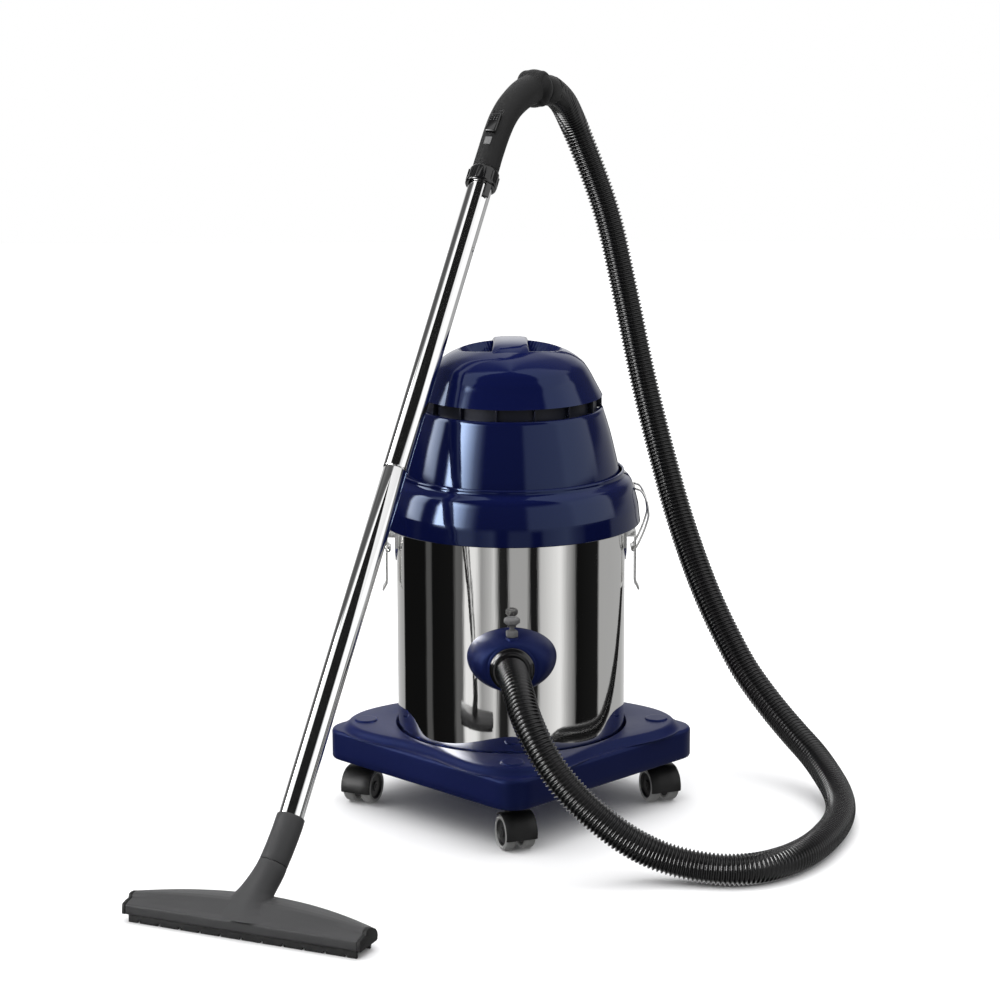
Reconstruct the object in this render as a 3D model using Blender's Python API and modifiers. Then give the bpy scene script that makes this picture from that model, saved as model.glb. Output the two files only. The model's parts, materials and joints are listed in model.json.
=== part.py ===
"""Canister wet and dry vacuum cleaner with its hose, two-piece wand and floor tool.

The tank's axis is the Z axis, the floor is z = 0, and the hose inlet faces -Y.
The wand leans in an upright plane of its own and stands on the floor by its tool.
"""

import math

import bmesh
import bpy
from mathutils import Matrix, Vector

# Fits
GAP = 0.0003  # between two pieces that touch
PLAY = 0.0006  # round a piece that turns or slides
SEGMENTS = 36  # sides of a large round piece
SOME = 24  # sides of a middling one
FEW = 16  # sides of a small one
HALF_SIDE = 180 / FEW  # turns a small round piece so that a flat, not an edge, faces its neighbour

# Tank
TANK_RADIUS = 0.165
TANK_WALL = 0.0015
TANK_TOP = 0.4425
TANK_BEAD = 0.0030

# Trolley, a square frame that stands corner forwards
TROLLEY_SIDE = 0.392
TROLLEY_CORNER = 0.035
TROLLEY_BOTTOM = 0.066
TROLLEY_HEIGHT = 0.044
TROLLEY_WALL = 0.005
PLATEAU_RISE = 0.0105
PLATEAU_TIP = 0.240
PLATEAU_WAIST = 0.182
PLATEAU_SLOPE = 0.005
WELL_CLEARANCE = 0.003
WELL_FLOOR = 0.006
BOSS_RADIUS = 0.0165
BOSS_RISE = 0.0022

# Twin-wheel casters
CASTER_REACH = 0.2125  # from the tank's axis to each swivel
CASTER_TRAIL = 0.012
CASTERS = {"front": (-90, -70), "right": (0, -69), "back": (90, -80), "left": (180, -114)}
WHEEL_RADIUS = 0.025
WHEEL_WIDTH = 0.017
WHEEL_OFFSET = 0.0141
AXLE_RADIUS = 0.0035
HOOD_GAP = 0.0013
HOOD_WALL = 0.0022
HOOD_WIDTH = 0.046
HOOD_WEB = 0.009
HOOD_ARC = (-12, 122)  # degrees about the axle, from the trailing side up and over
STEM_RADIUS = 0.0055
STEM_RISE = 0.0300  # above the trolley's underside
STEM_DROP = 0.0124  # below it
STEM_FLANGE = 0.010
STEM_COLLAR = 0.0018

# Hose inlet
INLET_HEIGHT = 0.2525
FLANGE_RISE = 0.005  # the oval's centre above the inlet's axis
FLANGE_HALF_WIDTH = 0.063
FLANGE_HALF_HEIGHT = 0.0455
FLANGE_DEPTH = 0.030
COLLAR_RADIUS = 0.0345
COLLAR_REACH = 0.040  # in front of the tank's skin
SPIGOT_RADIUS = 0.0300
CUFF_RADIUS = 0.0275
BUSH_RADIUS = 0.037
BUSH_DEPTH = 0.012
ELBOW_RADIUS = 0.026
ELBOW_WALL = 0.002
PIN_SETBACK = 0.015  # the lock pin behind the collar's mouth
PIN_RADIUS = 0.0035
PIN_BITE = 0.0028
PIN_TRAVEL = 0.005
KNOB_RADIUS = 0.011

# Latches, at the tank's left and right sides
HINGE_HEIGHT = 0.404
HINGE_STANDOFF = 0.0115  # from the tank's skin
BAIL_DROP = 0.025
LEVER_LENGTH = 0.076
LEVER_WIDTH = 0.030
LEVER_THICK = 0.0025
EAR_THICK = 0.002
WIRE_RADIUS = 0.0015
BAIL_HALF_WIDTH = 0.020

# Motor head
RIM_BOTTOM = 0.4205
RIM_RADIUS = 0.1868
RIM_WALL = 0.004
RIM_BREAK = (0.1838, 0.4470)  # radius and height where the band turns into the shoulder
RIM_SHOULDER = ((0.1784, 0.4634), (0.1710, 0.4781), (0.1636, 0.4895))
LIP_RADIUS = 0.1630
LIP_TOP = 0.4962
LIP_WALL = 0.0035
WEB_THICK = 0.004
WEB_HOLE = 0.100
SEAL_THICK = 0.0059
SEAL_WIDTH = 0.0115
COVER_WALL = 0.003
COVER_PROFILE = ((0.1325, 0.5860), (0.1340, 0.5802), (0.1430, 0.5512), (0.1502, 0.5220), (0.1566, 0.4930),
                 (0.1583, 0.4800))
VENT_HEIGHT = 0.0175
VENT_RIBS = 15
VENT_PHASE = 14.9
VENT_RING_RADIUS = 0.1235
VENT_RING_WALL = 0.004
DOME_PROFILE = ((0.040, 0.6780), (0.079, 0.6668), (0.1020, 0.6524), (0.1130, 0.6380), (0.1208, 0.6236),
                (0.1315, 0.6035))
DOME_TOP = 0.6805
DOME_WALL = 0.003
WELL_HALF = (0.078, 0.056, 0.062)
WELL_CENTRE = 0.692
BAR_HALF_WIDTH = 0.0254
BAR_RISE = 0.0035
BAR_THICK = 0.012

# Inside the head
PLATE_RADIUS = 0.120
PLATE_THICK = 0.005
PLATE_HOLE = 0.040
FAN_RADIUS = 0.072
FAN_HEIGHT = 0.042
FAN_WALL = 0.002
MOTOR_RADIUS = 0.056
MOTOR_HEIGHT = 0.060
SHAFT_RADIUS = 0.004
CAGE_RADIUS = 0.062
CAGE_WALL = 0.002
CAGE_BOTTOM = 0.305
CAGE_SLOTS = 6
FLOAT_RADIUS = 0.050
FLOAT_HEIGHT = 0.045
FLOAT_TRAVEL = 0.045
FILTER_WALL = 0.006

# Mains switch and cable gland, at the back of the motor cover
SWITCH_HEIGHT = 0.549
SWITCH_SIZE = (0.020, 0.030)
SWITCH_DEPTH = 0.012
GLAND_HEIGHT = 0.513
GLAND_RADIUS = 0.008
GLAND_LENGTH = 0.020

# Wand: an upright plane, a heading in it and a slope
WAND_HEADING = 66.0
WAND_SLOPE = 51.4
WAND_FOOT = (-0.2897, -0.4700, 0.1287)  # the tube's centre at the tool's sleeve
TUBE_RADIUS = 0.0178  # the upper tube
LOWER_RADIUS = 0.0168  # the lower tube, which takes the upper one's neck
TUBE_WALL = 0.0010
TUBE_JOINT = 0.512  # along the wand from its foot
TUBE_TOP = 1.000
NECK_LENGTH = 0.060
NECK_GAP = 0.0003
BUTTON_RADIUS = 0.0035
BUTTON_TRAVEL = 0.003
LOWER_BUTTON = 0.4855
UPPER_BUTTON = 0.870
RING_RADIUS = 0.0235
RING_LENGTH = 0.027
RING_RIBS = 12
GRIP_START = 1.003
# the grip's centre line and radii, along the heading and up, from the wand at GRIP_ORIGIN
GRIP_ORIGIN = 0.990
GRIP_PATH = ((0.0081, 0.0102, 0.0195), (0.022, 0.0280, 0.0192), (0.040, 0.0495, 0.0194),
             (0.056, 0.0667, 0.0198), (0.073, 0.0812, 0.0202), (0.098, 0.0960, 0.0208),
             (0.132, 0.1085, 0.0218), (0.160, 0.1150, 0.0226), (0.188, 0.1180, 0.0230))
GRIP_BORE = 0.0135
KNUCKLE_RADIUS = 0.0285
SLIDER_PLACE = (0.056, 0.0667)
SLIDER_SLOPE = 44.0
SLIDER_SIZE = (0.034, 0.0165, 0.0060)
SLIDER_TRAVEL = 0.010
SLOT_SIZE = (0.0450, 0.0177)
SLOT_FLOOR = 0.0165

# Hose and its cuffs
HOSE_RADIUS = 0.0215
HOSE_SPACING = 0.045
CUFF_FLANGE = 0.0313
CUFF_NUT = 0.0265
GRIP_CUFF_START = (0.2059, 0.1161)
GRIP_CUFF_SLOPE = -6.0
GRIP_CUFF_LENGTH = 0.040
GRIP_CUFF_RADIUS = 0.0232
HOSE_ROUTE = (
    (0.002, -0.235, 0.2505),
    (0.006, -0.262, 0.244),
    (0.013, -0.294, 0.224),
    (0.026, -0.321, 0.197),
    (0.046, -0.341, 0.162),
    (0.078, -0.356, 0.123),
    (0.116, -0.364, 0.088),
    (0.158, -0.367, 0.057),
    (0.204, -0.366, 0.034),
    (0.253, -0.374, 0.0240),
    (0.303, -0.379, 0.0220),
    (0.356, -0.356, 0.0220),
    (0.411, -0.292, 0.0220),
    (0.456, -0.190, 0.0225),
    (0.473, -0.105, 0.0265),
    (0.466, -0.040, 0.037),
    (0.446, 0.018, 0.059),
    (0.412, 0.066, 0.090),
    (0.379, 0.104, 0.126),
    (0.348, 0.139, 0.168),
    (0.303, 0.197, 0.254),
    (0.266, 0.262, 0.3525),
    (0.236, 0.315, 0.458),
    (0.209, 0.355, 0.568),
    (0.185, 0.377, 0.682),
    (0.160, 0.392, 0.795),
    (0.143, 0.397, 0.851),
    (0.123, 0.398, 0.905),
    (0.101, 0.390, 0.958),
    (0.089, 0.373, 0.985),
    (0.077, 0.352, 1.0025),
)

# Floor tool
SLEEVE_RADIUS = 0.0190
SLEEVE_LENGTH = 0.065
SLEEVE_GRIP = 0.030  # how far the tube goes into the sleeve
SLEEVE_LEAN = -0.0052  # how far the sleeve's foot bends to the left, looking up the wand's heading
TOOL_CENTRE = (-0.3405, -0.5562)
TOOL_LENGTH = 0.345
TOOL_DEPTH_END = 0.050
TOOL_DEPTH_MID = 0.082
TOOL_BOTTOM = 0.011
TOOL_FRONT_TOP = 0.026
TOOL_TOP_END = 0.034
TOOL_TOP_MID = 0.042
CAP_THICK = 0.005
STRIP_LENGTH = 0.330
STRIP_THICK = 0.004
STRIP_INSET = 0.004
STRIP_NOTCHES = 11
MOUTH_SIZE = (0.290, 0.020)
MOUTH_DEPTH = 0.012

MODEL = "wet_dry_vacuum"
CUTTERS = "cutters"

FINISHES = {
    "blue": ((0.015, 0.022, 0.130), 0.22, 0.0),
    "steel": ((0.80, 0.80, 0.79), 0.10, 1.0),
    "black": ((0.015, 0.015, 0.016), 0.38, 0.0),
    "graphite": ((0.060, 0.060, 0.062), 0.50, 0.0),
    "tyre_grey": ((0.42, 0.42, 0.41), 0.55, 0.0),
    "knob_grey": ((0.16, 0.16, 0.16), 0.40, 0.0),
    "zinc": ((0.62, 0.62, 0.61), 0.30, 1.0),
    "inner": ((0.30, 0.30, 0.31), 0.55, 0.0),
    "filter": ((0.75, 0.74, 0.70), 0.90, 0.0),
    "rubber": ((0.020, 0.020, 0.020), 0.75, 0.0),
}


def clear_scene():
    """Empty the scene and make the two collections."""
    for obj in list(bpy.data.objects):
        bpy.data.objects.remove(obj, do_unlink=True)
    for name in (MODEL, CUTTERS):
        group = bpy.data.collections.new(name)
        bpy.context.scene.collection.children.link(group)


def make_finishes():
    """Make one Principled material for each finish."""
    for name, (color, roughness, metallic) in FINISHES.items():
        mat = bpy.data.materials.new(name)
        mat.use_nodes = True
        shader = mat.node_tree.nodes["Principled BSDF"]
        shader.inputs["Base Color"].default_value = (*color, 1.0)
        shader.inputs["Roughness"].default_value = roughness
        shader.inputs["Metallic"].default_value = metallic


def put(obj, location=(0, 0, 0), turn=(0, 0, 0), parent=None):
    """Place an object by its location, its turns in degrees and its parent."""
    obj.location = location
    obj.rotation_euler = [math.radians(a) for a in turn]
    obj.parent = parent
    return obj


def add(name, data, finish=None, smooth=True):
    """Link mesh or curve data as a piece of the model."""
    obj = bpy.data.objects.new(name, data)
    bpy.data.collections[MODEL].objects.link(obj)
    if finish:
        data.materials.append(bpy.data.materials[finish])
    if smooth and isinstance(data, bpy.types.Mesh):
        data.shade_smooth()
        data.set_sharp_from_angle(angle=math.radians(35))
    return obj


def empty(name, location=(0, 0, 0), matrix=None, parent=None):
    """Make an empty that marks a joint or a frame."""
    obj = bpy.data.objects.new(name, None)
    bpy.data.collections[MODEL].objects.link(obj)
    obj.parent = parent
    obj.matrix_local = matrix if matrix is not None else Matrix.Translation(location)
    return obj


def turned(name, profile, finish=None, steps=SEGMENTS, ring=False):
    """Turn a profile of (radius, height) points, outer side top to bottom, about Z."""
    mesh = bpy.data.meshes.new(name)
    edges = [(i, i + 1) for i in range(len(profile) - 1)]
    if ring:
        edges.append((len(profile) - 1, 0))
    mesh.from_pydata([(r, 0, z) for r, z in profile], edges, [])
    obj = add(name, mesh, finish, smooth=False)
    screw = obj.modifiers.new("turn", "SCREW")
    screw.steps = screw.render_steps = steps
    screw.use_merge_vertices = True
    screw.merge_threshold = 0.00005
    screw.use_smooth_shade = True
    return obj


def disc(name, radius, low, high, finish=None, steps=FEW):
    """A cylinder on Z between two heights."""
    return turned(name, [(0, high), (radius, high), (radius, low), (0, low)], finish, steps)


def box(name, size, finish=None, bevel=0.0):
    """A box about the origin, with rounded edges if asked."""
    bm = bmesh.new()
    bmesh.ops.create_cube(bm, size=1.0)
    bmesh.ops.scale(bm, vec=size, verts=bm.verts)
    mesh = bpy.data.meshes.new(name)
    bm.to_mesh(mesh)
    bm.free()
    obj = add(name, mesh, finish, smooth=bevel > 0)
    if bevel:
        soften(obj, bevel)
    return obj


def block(name, low, high, finish=None, bevel=0.0):
    """A box between two corners."""
    size = [b - a for a, b in zip(low, high)]
    obj = box(name, size, finish, bevel)
    obj.data.transform(Matrix.Translation([(a + b) / 2 for a, b in zip(low, high)]))
    return obj


def ball(name, radii, finish=None, steps=FEW):
    """An ellipsoid about the origin."""
    bm = bmesh.new()
    bmesh.ops.create_uvsphere(bm, u_segments=steps, v_segments=steps // 2, radius=1.0)
    bmesh.ops.scale(bm, vec=radii, verts=bm.verts)
    mesh = bpy.data.meshes.new(name)
    bm.to_mesh(mesh)
    bm.free()
    return add(name, mesh, finish)


def soften(obj, width, segments=2):
    """Round the sharp edges of a piece."""
    bevel = obj.modifiers.new("soften", "BEVEL")
    bevel.width = width
    bevel.segments = segments
    bevel.limit_method = "ANGLE"
    bevel.angle_limit = math.radians(35)


def as_mesh(curve_obj):
    """Replace a curve object by its welded mesh."""
    graph = bpy.context.evaluated_depsgraph_get()
    graph.update()
    mesh = bpy.data.meshes.new_from_object(curve_obj.evaluated_get(graph))
    bm = bmesh.new()
    bm.from_mesh(mesh)
    bmesh.ops.remove_doubles(bm, verts=bm.verts, dist=0.00005)
    bmesh.ops.recalc_face_normals(bm, faces=bm.faces)
    bm.to_mesh(mesh)
    bm.free()
    name = curve_obj.name
    world = curve_obj.matrix_world.copy()
    bpy.data.objects.remove(curve_obj, do_unlink=True)
    obj = add(name, mesh)
    obj.matrix_world = world
    return obj


def outline(name, points, low, high, finish=None):
    """A flat outline in XY made solid between two heights."""
    curve = bpy.data.curves.new(name, "CURVE")
    curve.dimensions = "2D"
    curve.fill_mode = "BOTH"
    curve.extrude = (high - low) / 2
    spline = curve.splines.new("POLY")
    spline.points.add(len(points) - 1)
    for place, (x, y) in zip(spline.points, points):
        place.co = (x, y, 0, 1)
    spline.use_cyclic_u = True
    obj = as_mesh(add(name, curve))
    obj.data.transform(Matrix.Translation((0, 0, (low + high) / 2)))
    if finish:
        obj.data.materials.append(bpy.data.materials[finish])
    return obj


def tube_curve(name, points, radius, finish=None, resolution=2, radii=None):
    """A round tube along points, as a curve with filled caps."""
    curve = bpy.data.curves.new(name, "CURVE")
    curve.dimensions = "3D"
    curve.bevel_depth = radius
    curve.bevel_resolution = resolution
    curve.use_fill_caps = True
    spline = curve.splines.new("POLY")
    spline.points.add(len(points) - 1)
    for index, (place, point) in enumerate(zip(spline.points, points)):
        place.co = (*point, 1)
        place.radius = radii[index] / radius if radii else 1.0
    return add(name, curve, finish)


def tube(name, points, radius, finish=None, resolution=2, radii=None):
    """A round tube along points, as a mesh that booleans can use."""
    obj = as_mesh(tube_curve(name, points, radius, None, resolution, radii))
    if finish:
        obj.data.materials.append(bpy.data.materials[finish])
    return obj


def boolean(obj, other, operation):
    """Work one shape on another and file the second away with the cutters."""
    other.parent = other.parent or obj.parent
    other.name = f"{obj.name}.{len(obj.modifiers)}.{operation.lower()}"
    other.hide_render = True
    other.display_type = "WIRE"
    bpy.data.collections[MODEL].objects.unlink(other)
    bpy.data.collections[CUTTERS].objects.link(other)
    work = obj.modifiers.new(operation.lower(), "BOOLEAN")
    work.operation = operation
    work.object = other
    return obj


def cut(obj, cutter):
    """Take a cutter away from a piece."""
    return boolean(obj, cutter, "DIFFERENCE")


def join(obj, other):
    """Make another shape one body with a piece."""
    return boolean(obj, other, "UNION")


def keep(obj, other):
    """Keep only what a piece shares with another shape."""
    return boolean(obj, other, "INTERSECT")


def smooth_path(points, spacing):
    """Points at an even spacing along a smooth curve through the given ones."""
    knots = [Vector(p) for p in points]
    knots = [2 * knots[0] - knots[1], *knots, 2 * knots[-1] - knots[-2]]
    fine = []
    for a, b, c, d in zip(knots, knots[1:], knots[2:], knots[3:]):
        for step in range(24):
            t = step / 24
            fine.append(0.5 * (2 * b + (c - a) * t + (2 * a - 5 * b + 4 * c - d) * t * t
                               + (3 * b - a - 3 * c + d) * t * t * t))
    fine.append(knots[-2])
    run = [0.0]
    for a, b in zip(fine, fine[1:]):
        run.append(run[-1] + (b - a).length)
    count = max(2, round(run[-1] / spacing))
    path = []
    index = 0
    for step in range(count + 1):
        goal = run[-1] * step / count
        while index < len(run) - 2 and run[index + 1] < goal:
            index += 1
        share = (goal - run[index]) / (run[index + 1] - run[index])
        path.append(fine[index].lerp(fine[index + 1], share))
    return path


def rounded_square(side, corner, steps=6):
    """Outline of a square with rounded corners, its corners on the X and Y axes."""
    points = []
    middle = (side / 2 - corner) * math.sqrt(2)
    for quarter in range(4):
        centre = Matrix.Rotation(quarter * math.pi / 2, 2) @ Vector((middle, 0))
        for step in range(steps + 1):
            angle = math.radians(90 * quarter - 45 + 90 * step / steps)
            points.append((centre.x + corner * math.cos(angle), centre.y + corner * math.sin(angle)))
    return points


def arc(radius, first, last, steps=8):
    """Points of an arc about the origin between two angles in degrees."""
    angles = [math.radians(first + (last - first) * step / steps) for step in range(steps + 1)]
    return [(radius * math.cos(angle), radius * math.sin(angle)) for angle in angles]


def plateau_outline(steps=48):
    """Outline of the raised deck, drawn out to a tip over each caster."""
    points = []
    for step in range(steps):
        angle = 2 * math.pi * step / steps
        reach = PLATEAU_WAIST + (PLATEAU_TIP - PLATEAU_WAIST) * abs(math.cos(2 * angle)) ** 2.4
        points.append((reach * math.cos(angle), reach * math.sin(angle)))
    return points


def trolley():
    """The square trolley with a well for the tank and a boss over each caster."""
    bottom = TROLLEY_BOTTOM
    top = bottom + TROLLEY_HEIGHT
    deck = top + PLATEAU_RISE
    well = TANK_RADIUS + WELL_CLEARANCE
    square = rounded_square(TROLLEY_SIDE, TROLLEY_CORNER)
    body = outline("trolley", square, bottom, top, "blue")
    soften(body, 0.003)
    plateau = outline("plateau", plateau_outline(), top - 0.004, deck)
    shrink = 1 - PLATEAU_SLOPE / PLATEAU_WAIST
    for vertex in plateau.data.vertices:
        if vertex.co.z > top:
            vertex.co.x *= shrink
            vertex.co.y *= shrink
    join(body, plateau)
    for side, _ in CASTERS.values():
        place = Matrix.Rotation(math.radians(side), 3, "Z") @ Vector((CASTER_REACH, 0, 0))
        join(body, put(disc("boss", BOSS_RADIUS, top, deck + BOSS_RISE), place, (0, 0, side + HALF_SIDE)))
    inside = outline("pocket", rounded_square(TROLLEY_SIDE - 2 * TROLLEY_WALL, TROLLEY_CORNER - TROLLEY_WALL),
                     bottom - 0.01, top - TROLLEY_WALL)
    cut(inside, disc("well_wall", well + TROLLEY_WALL, bottom - 0.02, deck, steps=SEGMENTS))
    for side, _ in CASTERS.values():
        place = Matrix.Rotation(math.radians(side), 3, "Z") @ Vector((CASTER_REACH, 0, 0))
        cut(inside, put(disc("socket", STEM_RADIUS + 0.007, bottom - 0.02, deck), place, (0, 0,
                                                                                          side + HALF_SIDE)))
    cut(body, inside)
    cut(body, disc("well", well, bottom + WELL_FLOOR, deck + 0.02, steps=SEGMENTS))
    for side, _ in CASTERS.values():
        place = Matrix.Rotation(math.radians(side), 3, "Z") @ Vector((CASTER_REACH, 0, 0))
        cut(body, put(disc("hole", STEM_RADIUS + GAP, bottom - 0.01, bottom + STEM_RISE + GAP), place,
                      (0, 0, side + HALF_SIDE)))


def tank():
    """The steel drum, open at the top, with a rolled bead and the inlet's hole."""
    low = TROLLEY_BOTTOM + WELL_FLOOR + GAP
    inner = TANK_RADIUS - TANK_WALL
    corner = 0.012
    profile = [(0, low + TANK_WALL), (inner - corner, low + TANK_WALL), (inner, low + corner),
               (inner, TANK_TOP), (TANK_RADIUS + TANK_BEAD, TANK_TOP),
               (TANK_RADIUS + TANK_BEAD, TANK_TOP - TANK_BEAD),
               (TANK_RADIUS, TANK_TOP - 2 * TANK_BEAD), (TANK_RADIUS, low + corner),
               (TANK_RADIUS - corner, low), (0, low)]
    drum = turned("tank", profile, "steel", SEGMENTS)
    hole = disc("hole", SPIGOT_RADIUS + GAP, 0, TANK_RADIUS + 0.05, steps=SOME)
    cut(drum, put(hole, (0, 0, INLET_HEIGHT), (90, 0, 0)))


def caster(side, heading, place):
    """One twin-wheel caster: its stem, its swivelling hood and its two wheels."""
    name = f"caster_{side}"
    low = TROLLEY_BOTTOM - GAP
    foot = low - STEM_DROP
    tip = low + STEM_RISE
    stem = turned(f"{name}_stem", [(0, tip), (STEM_RADIUS, tip), (STEM_RADIUS, low), (STEM_FLANGE, low),
                                   (STEM_FLANGE, low - STEM_COLLAR), (STEM_RADIUS, low - STEM_COLLAR),
                                   (STEM_RADIUS, foot), (0, foot)], "zinc", FEW)
    put(stem, place, (0, 0, HALF_SIDE))
    turn = Matrix.Translation(place) @ Matrix.Rotation(math.radians(heading), 4, "Z")
    swivel = empty(f"{name}_swivel", matrix=turn)
    axle = (CASTER_TRAIL, 0, WHEEL_RADIUS)
    inner = WHEEL_RADIUS + HOOD_GAP
    outer = inner + HOOD_WALL
    half = HOOD_WIDTH / 2
    first, last = HOOD_ARC
    shell = arc(outer, first, last) + arc(inner, last, first)
    hood = put(outline(f"{name}_hood", shell, -half, half, "graphite"), axle, (90, 0, 0), swivel)
    hub = AXLE_RADIUS + 0.0035
    web = arc(inner + HOOD_WALL / 2, first + 4, last - 4) + [(-hub, hub), (-hub, -hub), (hub, -hub)]
    join(hood, put(outline("web", web, -HOOD_WEB / 2, HOOD_WEB / 2), axle, (90, 0, 0), swivel))
    boss = put(disc("boss", 0.0115, WHEEL_RADIUS + 0.018, low - STEM_COLLAR - GAP), parent=swivel)
    cut(boss, put(disc("wheel_space", inner + HOOD_WALL / 3, -half, half, steps=40), axle, (90, 0, 0),
                  swivel))
    join(hood, boss)
    cut(hood, put(disc("socket", STEM_RADIUS + GAP, foot - GAP, low + 0.01), parent=swivel))
    join(hood, put(disc("axle", AXLE_RADIUS, -half + 0.001, half - 0.001), axle, (90, 0, 0), swivel))
    width = WHEEL_WIDTH / 2
    bore = AXLE_RADIUS + GAP
    profile = [(WHEEL_RADIUS - 0.0025, width), (WHEEL_RADIUS, width - 0.003), (WHEEL_RADIUS, 0.003 - width),
               (WHEEL_RADIUS - 0.0025, -width), (bore, -width), (bore, width)]
    for label, hand in (("left", 1), ("right", -1)):
        wheel = turned(f"{name}_wheel_{label}", profile, "tyre_grey", 20, ring=True)
        put(wheel, (CASTER_TRAIL, hand * WHEEL_OFFSET, WHEEL_RADIUS), (90, 0, 0), swivel)


def casters():
    """A caster under each of the trolley's corners."""
    for side, (bearing, heading) in CASTERS.items():
        angle = math.radians(bearing)
        place = (CASTER_REACH * math.cos(angle), CASTER_REACH * math.sin(angle), 0)
        caster(side, heading, place)


def facing(name, radius, near, far, finish=None, steps=SOME):
    """A cylinder on the inlet's axis between two distances in front of the tank's axis."""
    return put(disc(name, radius, near, far, finish, steps), (0, 0, INLET_HEIGHT), (90, 0, 0))


def inlet():
    """The oval flange, its nut inside the tank, the elbow and the lock pin."""
    skin = TANK_RADIUS + GAP
    mouth = TANK_RADIUS + COLLAR_REACH
    pin_y = -(mouth - PIN_SETBACK)
    boss_top = INLET_HEIGHT + COLLAR_RADIUS + 0.008
    flange = ball("inlet_flange", (FLANGE_HALF_WIDTH, FLANGE_DEPTH + 0.012, FLANGE_HALF_HEIGHT), "blue", 28)
    put(flange, (0, 0.012 - TANK_RADIUS, INLET_HEIGHT + FLANGE_RISE))
    join(flange, facing("collar", COLLAR_RADIUS, TANK_RADIUS - 0.01, mouth))
    join(flange, put(disc("pin_boss", 0.0095, INLET_HEIGHT, boss_top), (0, pin_y, 0)))
    cut(flange, disc("skin", skin, 0, TANK_TOP, steps=SEGMENTS))
    join(flange, facing("spigot", SPIGOT_RADIUS, TANK_RADIUS - BUSH_DEPTH - 0.006, TANK_RADIUS + 0.012))
    cut(flange, facing("bore", CUFF_RADIUS + GAP, 0.08, mouth + 0.02))
    cut(flange, put(disc("pin_hole", PIN_RADIUS + GAP, INLET_HEIGHT, boss_top + 0.01), (0, pin_y, 0)))

    bush = facing("inlet_nut", BUSH_RADIUS, TANK_RADIUS - BUSH_DEPTH - 0.005, TANK_RADIUS, "graphite")
    cut(bush, facing("bore", SPIGOT_RADIUS + GAP, 0.08, TANK_RADIUS + 0.02))
    keep(bush, disc("inner_skin", TANK_RADIUS - TANK_WALL - GAP, 0, TANK_TOP, steps=SEGMENTS))

    start = -(TANK_RADIUS - BUSH_DEPTH - 0.006 - GAP)
    bend = 0.030
    path = [(0, start, INLET_HEIGHT), (0, start + 0.006, INLET_HEIGHT)]
    for step in range(1, 7):
        angle = math.pi / 2 * step / 6
        path.append((0, start + 0.006 + bend * math.sin(angle), INLET_HEIGHT - bend * (1 - math.cos(angle))))
    path.append((0, path[-1][1], path[-1][2] - 0.012))
    elbow = tube("inlet_elbow", path, ELBOW_RADIUS, "graphite", 4)
    run = [(0, start - 0.01, INLET_HEIGHT), *path[1:-1], (0, path[-1][1], path[-1][2] - 0.01)]
    cut(elbow, tube("passage", run, ELBOW_RADIUS - ELBOW_WALL, None, 4))

    tip = INLET_HEIGHT + CUFF_RADIUS - PIN_BITE + GAP
    knob_low = boss_top + 0.0165
    pin = turned("lock_pin", [(0, knob_low + 0.0115), (KNOB_RADIUS - 0.003, knob_low + 0.0115),
                              (KNOB_RADIUS, knob_low + 0.0085), (KNOB_RADIUS - 0.001, knob_low + 0.004),
                              (KNOB_RADIUS - 0.004, knob_low + 0.001), (PIN_RADIUS, knob_low),
                              (PIN_RADIUS, tip), (0, tip)], "knob_grey", FEW)
    put(pin, (0, pin_y, 0))
    nut_low = boss_top + GAP
    nut = turned("lock_nut", [(0.0075, nut_low + 0.0095), (0.0090, nut_low + 0.0080), (0.0090,
                                                                                       nut_low + 0.0015),
                              (0.0080, nut_low), (PIN_RADIUS + GAP, nut_low), (PIN_RADIUS + GAP,
                                                                               nut_low + 0.0095)],
                 "knob_grey", FEW, ring=True)
    put(nut, (0, pin_y, 0))


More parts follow.
